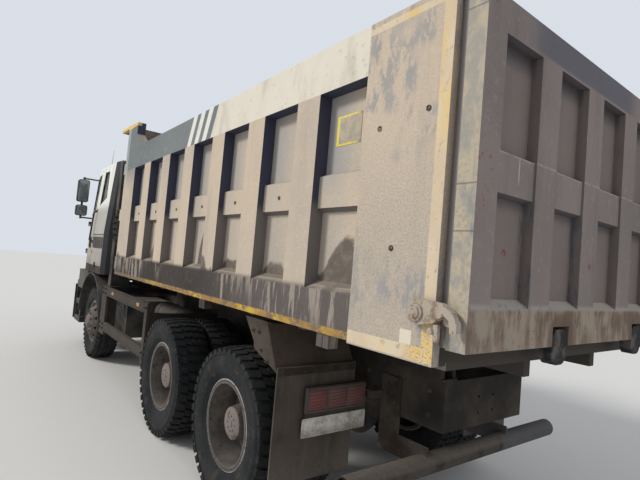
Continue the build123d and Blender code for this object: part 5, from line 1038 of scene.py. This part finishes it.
# Underrun bar: a steel tube under two plates, its paint gone and
# rust showing through dry mud.
f = Finish("pipe_steel", (42, 34, 28))
cloud = f.noise(5, 1, rough=0.65)
grain = f.noise(45, 2)
f.coat((75, 64, 54), cloud.above(0.5, 0.1))
f.coat((85, 47, 30), f.noise(11, 3, rough=0.75).above(0.58, 0.06) * 0.6)
f.coat((190, 168, 142), f.facing()[2].above(0.3, 0.3) * (0.25 + 0.7 * grain))
f.coat((130, 124, 132), f.y.below(-0.35, 0.02) * 0.7)
# Painted shade: the inside of the tube's open end is darkened nearly black.
painted_bore_shade = f.y.size().within(0.99, 1.069) * f.near((-3.21, 1.07, 0.54), 0.0615, 0.0005)
f.coat((20, 16, 13), painted_bore_shade * 0.85)
pipe_steel = f.done(roughness=0.8, relief=cloud + grain * 0.6, depth=0.003)
paint(pipe_steel, "underrun_bar")
bracket_bolts = bmesh.new()
nuts(bracket_bolts, (-2.9, -2.96), (0.442,), (0.94, 0.86), OUT, 0.013, 0.016)
twins(bracket_bolts)
fit(bracket_bolts, "underrun_bolts", pipe_steel, "chassis", "chassis_paint")

# Side guards: pressed steel rails in grey paint, bolted through
# their front plates, with a reflector.
guard_grey = grimy("guard_grey", (45, 42, 39), (85, 73, 62), 0.6, rough=0.8, rust=0.25)
paint(guard_grey, "side_guards")
guard_bolts = bmesh.new()
nuts(guard_bolts, (1.565, 1.71), (1.215,), (0.59, 0.65, 1.05, 1.11), OUT, 0.012, 0.013)
nuts(guard_bolts, (-0.185, -0.155), (1.215,), (0.62, 1.08), OUT, 0.01, 0.012)
for z in (0.569, 0.671, 1.029, 1.131):
    beam(guard_bolts, (-0.13, 1.213, z - 0.006), (1.51, 1.223, z + 0.006), 0.003, edge=0.001)
twins(guard_bolts)
fit(guard_bolts, "side_guard_bolts", guard_grey, "chassis", "dark_plastic")
side_lenses = bmesh.new()
for x in (0.1, 1.2):
    low, high = (x - 0.045, 1.2145, 1.062), (x + 0.045, 1.222, 1.098)
    beam(side_lenses, low, high, 0.002, axis="y", edge=0.001)
twins(side_lenses)
fit(side_lenses, "side_reflectors", lens_amber, "chassis", "lamp_lens")

# Tanks and boxes: an aluminium fuel tank, the battery box with ribbed sides and rubber latches,
# two air tanks with drain cocks, and the silencer's heat shield and tail pipe.
tank_metal = grimy("tank_metal", (500, 500, 490), (200, 175, 148), 0.5, rough=0.35, metallic=0.85)
paint(tank_metal, "fuel_tank")
paint(dark_plastic, "battery_and_air_tanks")
tank_gear = bmesh.new()
rod(tank_gear, (1.36, -0.95, 1.058), (1.36, -0.95, 1.095), 0.05, edge=0.006, sides=40)
block(tank_gear, (1.345, -1.006, 1.094), (1.375, -0.894, 1.112), edge=0.005)
for x, z in product((0.45, 1.25), (0.55, 0.98)):
    rod(tank_gear, (x, -1.155, z - 0.04), (x, -1.155, z + 0.04), 0.011, sides=16, edge=0.002)
rod(tank_gear, (0.52, -0.86, 0.471), (0.52, -0.86, 0.45), 0.018, tip=0.016, sides=6)
rod(tank_gear, (0.8, -0.9, 1.06), (0.8, -0.9, 1.072), 0.034, sides=32, edge=0.003)
fit(tank_gear, "fuel_tank_gear", zinc, "chassis", "tank_metal")
box_gear = bmesh.new()
row(box_gear, "x", spaced(1.0, 0.055, 9), (-0.008, 1.086, 0.6), (0.008, 1.097, 0.925))
row(box_gear, "x", (1.07, 1.37), (-0.014, 1.092, 0.9), (0.014, 1.106, 1.005), 0.005)
for cock_z in (0.515, 0.78):
    rod(box_gear, (0.35, 0.69, cock_z + 0.006), (0.35, 0.69, cock_z - 0.022), 0.014, tip=0.011, sides=6)
for valve_z in (0.65, 0.915):
    rod(box_gear, (0.785, 0.69, valve_z), (0.815, 0.69, valve_z), 0.018, sides=6)
    rod(box_gear, (0.812, 0.69, valve_z), (0.85, 0.6, valve_z + 0.03), 0.006, sides=10)
fit(box_gear, "battery_box_gear", dark_plastic, "chassis", "dark_plastic")
heat_shield = bmesh.new()
row(heat_shield, "z", spaced(0.56, 0.048, 7), (1.5, -0.926, -0.012), (1.77, -0.918, 0.012))
rod(heat_shield, (1.56, -0.7, 0.485), (1.5, -0.8, 0.43), 0.042, sides=32)
shield_steel = grimy("shield_steel", (160, 150, 140), (160, 135, 110), 0.5, metallic=0.6, rust=0.42)
paint(shield_steel, "silencer")
fit(heat_shield, "silencer_shield", shield_steel, "chassis", "chassis_paint")

# Hoist: four nested tubes, the stages chromed, each leaving the next
# through a gland ring.
f = Finish("hoist_chrome", (550, 550, 550))
chrome_dust = f.noise(8).above(0.5, 0.12)
f.coat((300, 260, 220), chrome_dust)
hoist_chrome = f.done(roughness=0.16 + 0.4 * chrome_dust, metallic=1.0)
hoist_paint = grimy("hoist_paint", (45, 45, 46), (170, 145, 120), 0.5, rust=0.3)
paint(hoist_paint, "hoist_tube")
paint(hoist_chrome, "hoist_stage_1", "hoist_stage_2", "hoist_stage_3")
TUBE_GLAND = [(-0.03, -0.001), (-0.03, 0.006), (-0.004, 0.006), (-0.001, 0.002), (-0.001, -0.001)]
STAGE_GLAND = [(-0.016, -0.001), (-0.016, 0.003), (-0.003, 0.003), (-0.001, -0.001)]
for body, radius, top, gland in (
    ("hoist_tube", 0.1, 2.274, TUBE_GLAND), ("hoist_stage_1", 0.085, 2.296, STAGE_GLAND),
    ("hoist_stage_2", 0.07, 2.318, STAGE_GLAND),
):
    ring = bmesh.new()
    turned(ring, (1.555, 0, top), (0, 0, 1), [(along, radius + proud) for along, proud in gland])
    fit(ring, f"{body}_gland", hoist_paint, body, "stage_steel")

# Frame and springs: bolts along the rails, U-bolts over the springs
# and clips round their leaves.
frame_bolts = bmesh.new()
nuts(frame_bolts, spaced(-3.22, 0.265, 26), (0.43,), (0.84, 0.985), OUT, 0.011, 0.01)
nuts(frame_bolts, (-1.53, -1.16), (0.475, 0.525), (0.745,), (0, 0, -1), 0.012, 0.018)
for x, low_y, high_y, low_z, high_z, thick in (
    (-1.595, 0.448, 0.552, 0.585, 0.752, 0.01), (-1.275, 0.448, 0.552, 0.585, 0.752, 0.01),
    (2.15, 0.378, 0.482, 0.56, 0.655, 0.007), (2.93, 0.378, 0.482, 0.56, 0.655, 0.007),
):
    clip = [(x, low_y, low_z), (x, low_y, high_z), (x, high_y, high_z), (x, high_y, low_z)]
    trim_loop(frame_bolts, clip, thick)
twins(frame_bolts)
fit(frame_bolts, "frame_bolts", chassis_paint, "chassis", "chassis_paint")

# Air intake: louvres in the duct's hood and a band where it joins
# the lower duct.
louvres = bmesh.new()
row(louvres, "z", spaced(2.795, 0.013, 6), (1.7495, 0.91, -0.003), (1.884, 1.131, 0.003), 0.001)
block(louvres, (1.741, 0.876, 2.1), (1.889, 1.134, 2.13))
fit(louvres, "intake_louvres", dark_plastic, "chassis", "dark_plastic")

# Cab inside: dashboard and steering wheel in dark moulded plastic, with a hood and three plain
# vent covers.
f = Finish("cab_trim", (55, 56, 60))
f.coat((120, 110, 100), f.noise(10).above(0.52, 0.12))
cab_trim = f.done(roughness=0.7, relief=f.noise(160, detail=2), depth=0.0006)
paint(cab_trim, "dashboard", "steering_wheel")
binnacle = bmesh.new()
block(binnacle, (3.47, 0.46, 2.06), (3.6, 0.94, 2.15), edge=0.02, steps=4)
tilt = Matrix.Rotation(math.radians(20), 3, "Y")
bmesh.ops.rotate(binnacle, verts=binnacle.verts, cent=(3.535, 0.7, 2.105), matrix=tilt)
row(binnacle, "y", (0.15, -0.35, -0.85), (3.44, -0.07, 1.96), (3.47, 0.07, 2.02), 0.006)
fit(binnacle, "dashboard_hood", cab_trim, "cab", "dark_plastic")

# Seats: foam under dark cloth with pale centre panels, stitched and tapered, each on a rubber
# bellows over its suspension box.


def pad(mesh, centre, size, lean, power=5.0, dip=0.0):
    """A foam pad: a box whose corners are drawn in and whose face dips along two seams."""
    before = set(mesh.verts)
    edges = list(edges_of(bmesh.ops.create_cube(mesh, size=2)["verts"]))
    bmesh.ops.subdivide_edges(mesh, edges=edges, cuts=14, use_grid_fill=True)
    turn = Matrix.Rotation(math.radians(lean), 3, "Y")
    thin = size.index(min(size))
    for vert in added(mesh, before):
        spot = vert.co / sum(abs(part) ** power for part in vert.co) ** (1 / power)
        groove = dip * math.exp(-((abs(vert.co.y) - 0.62) / 0.06) ** 2)
        spot = Vector([part * half / 2 for part, half in zip(spot, size)])
        spot[thin] -= math.copysign(groove, spot[thin]) * (abs(spot[thin]) > size[thin] * 0.3)
        vert.co = Vector(centre) + turn @ spot


f = Finish("seat_cloth", (35, 36, 42))
f.coat((100, 105, 120), (f.y.size() - 0.7).size().below(0.145, 0.002) * 0.85)
f.coat((140, 125, 110), f.noise(6, 3).above(0.55, 0.12) * 0.6)
seat_cloth = f.done(roughness=0.92, relief=f.noise(300, detail=2), depth=0.0008)
cushion, backrest, bellows = bmesh.new(), bmesh.new(), bmesh.new()
pad(cushion, (2.73, 0.7, 1.668), (0.46, 0.476, 0.128), lean=-3, dip=0.006)
pad(backrest, (2.4, 0.7, 1.945), (0.142, 0.472, 0.56), lean=-7.4, dip=0.006)
pad(backrest, (2.336, 0.7, 2.345), (0.115, 0.3, 0.2), lean=-7.4, power=4)
for post_y in (0.64, 0.76):
    rod(backrest, (2.358, post_y, 2.18), (2.342, post_y, 2.3), 0.007, sides=12)
row(bellows, "z", spaced(1.355, 0.034, 7), (2.53, 0.51, 0), (2.84, 0.89, 0.026), 0.011, steps=3)
block(bellows, (2.51, 0.49, 1.322), (2.86, 0.91, 1.352), edge=0.004)
block(bellows, (2.5, 0.48, 1.59), (2.88, 0.92, 1.612), edge=0.004)
for mesh in (cushion, backrest, bellows):
    twins(mesh)
seat_cushion = fit(cushion, "seat_cushions", seat_cloth, "cab", "seat_cloth", "seats", smooth=60)
seat_back = fit(backrest, "seat_backs", seat_cloth, "cab", "seat_cloth", smooth=60)
fit(bellows, "seat_bellows", cab_trim, "cab", "seat_cloth")
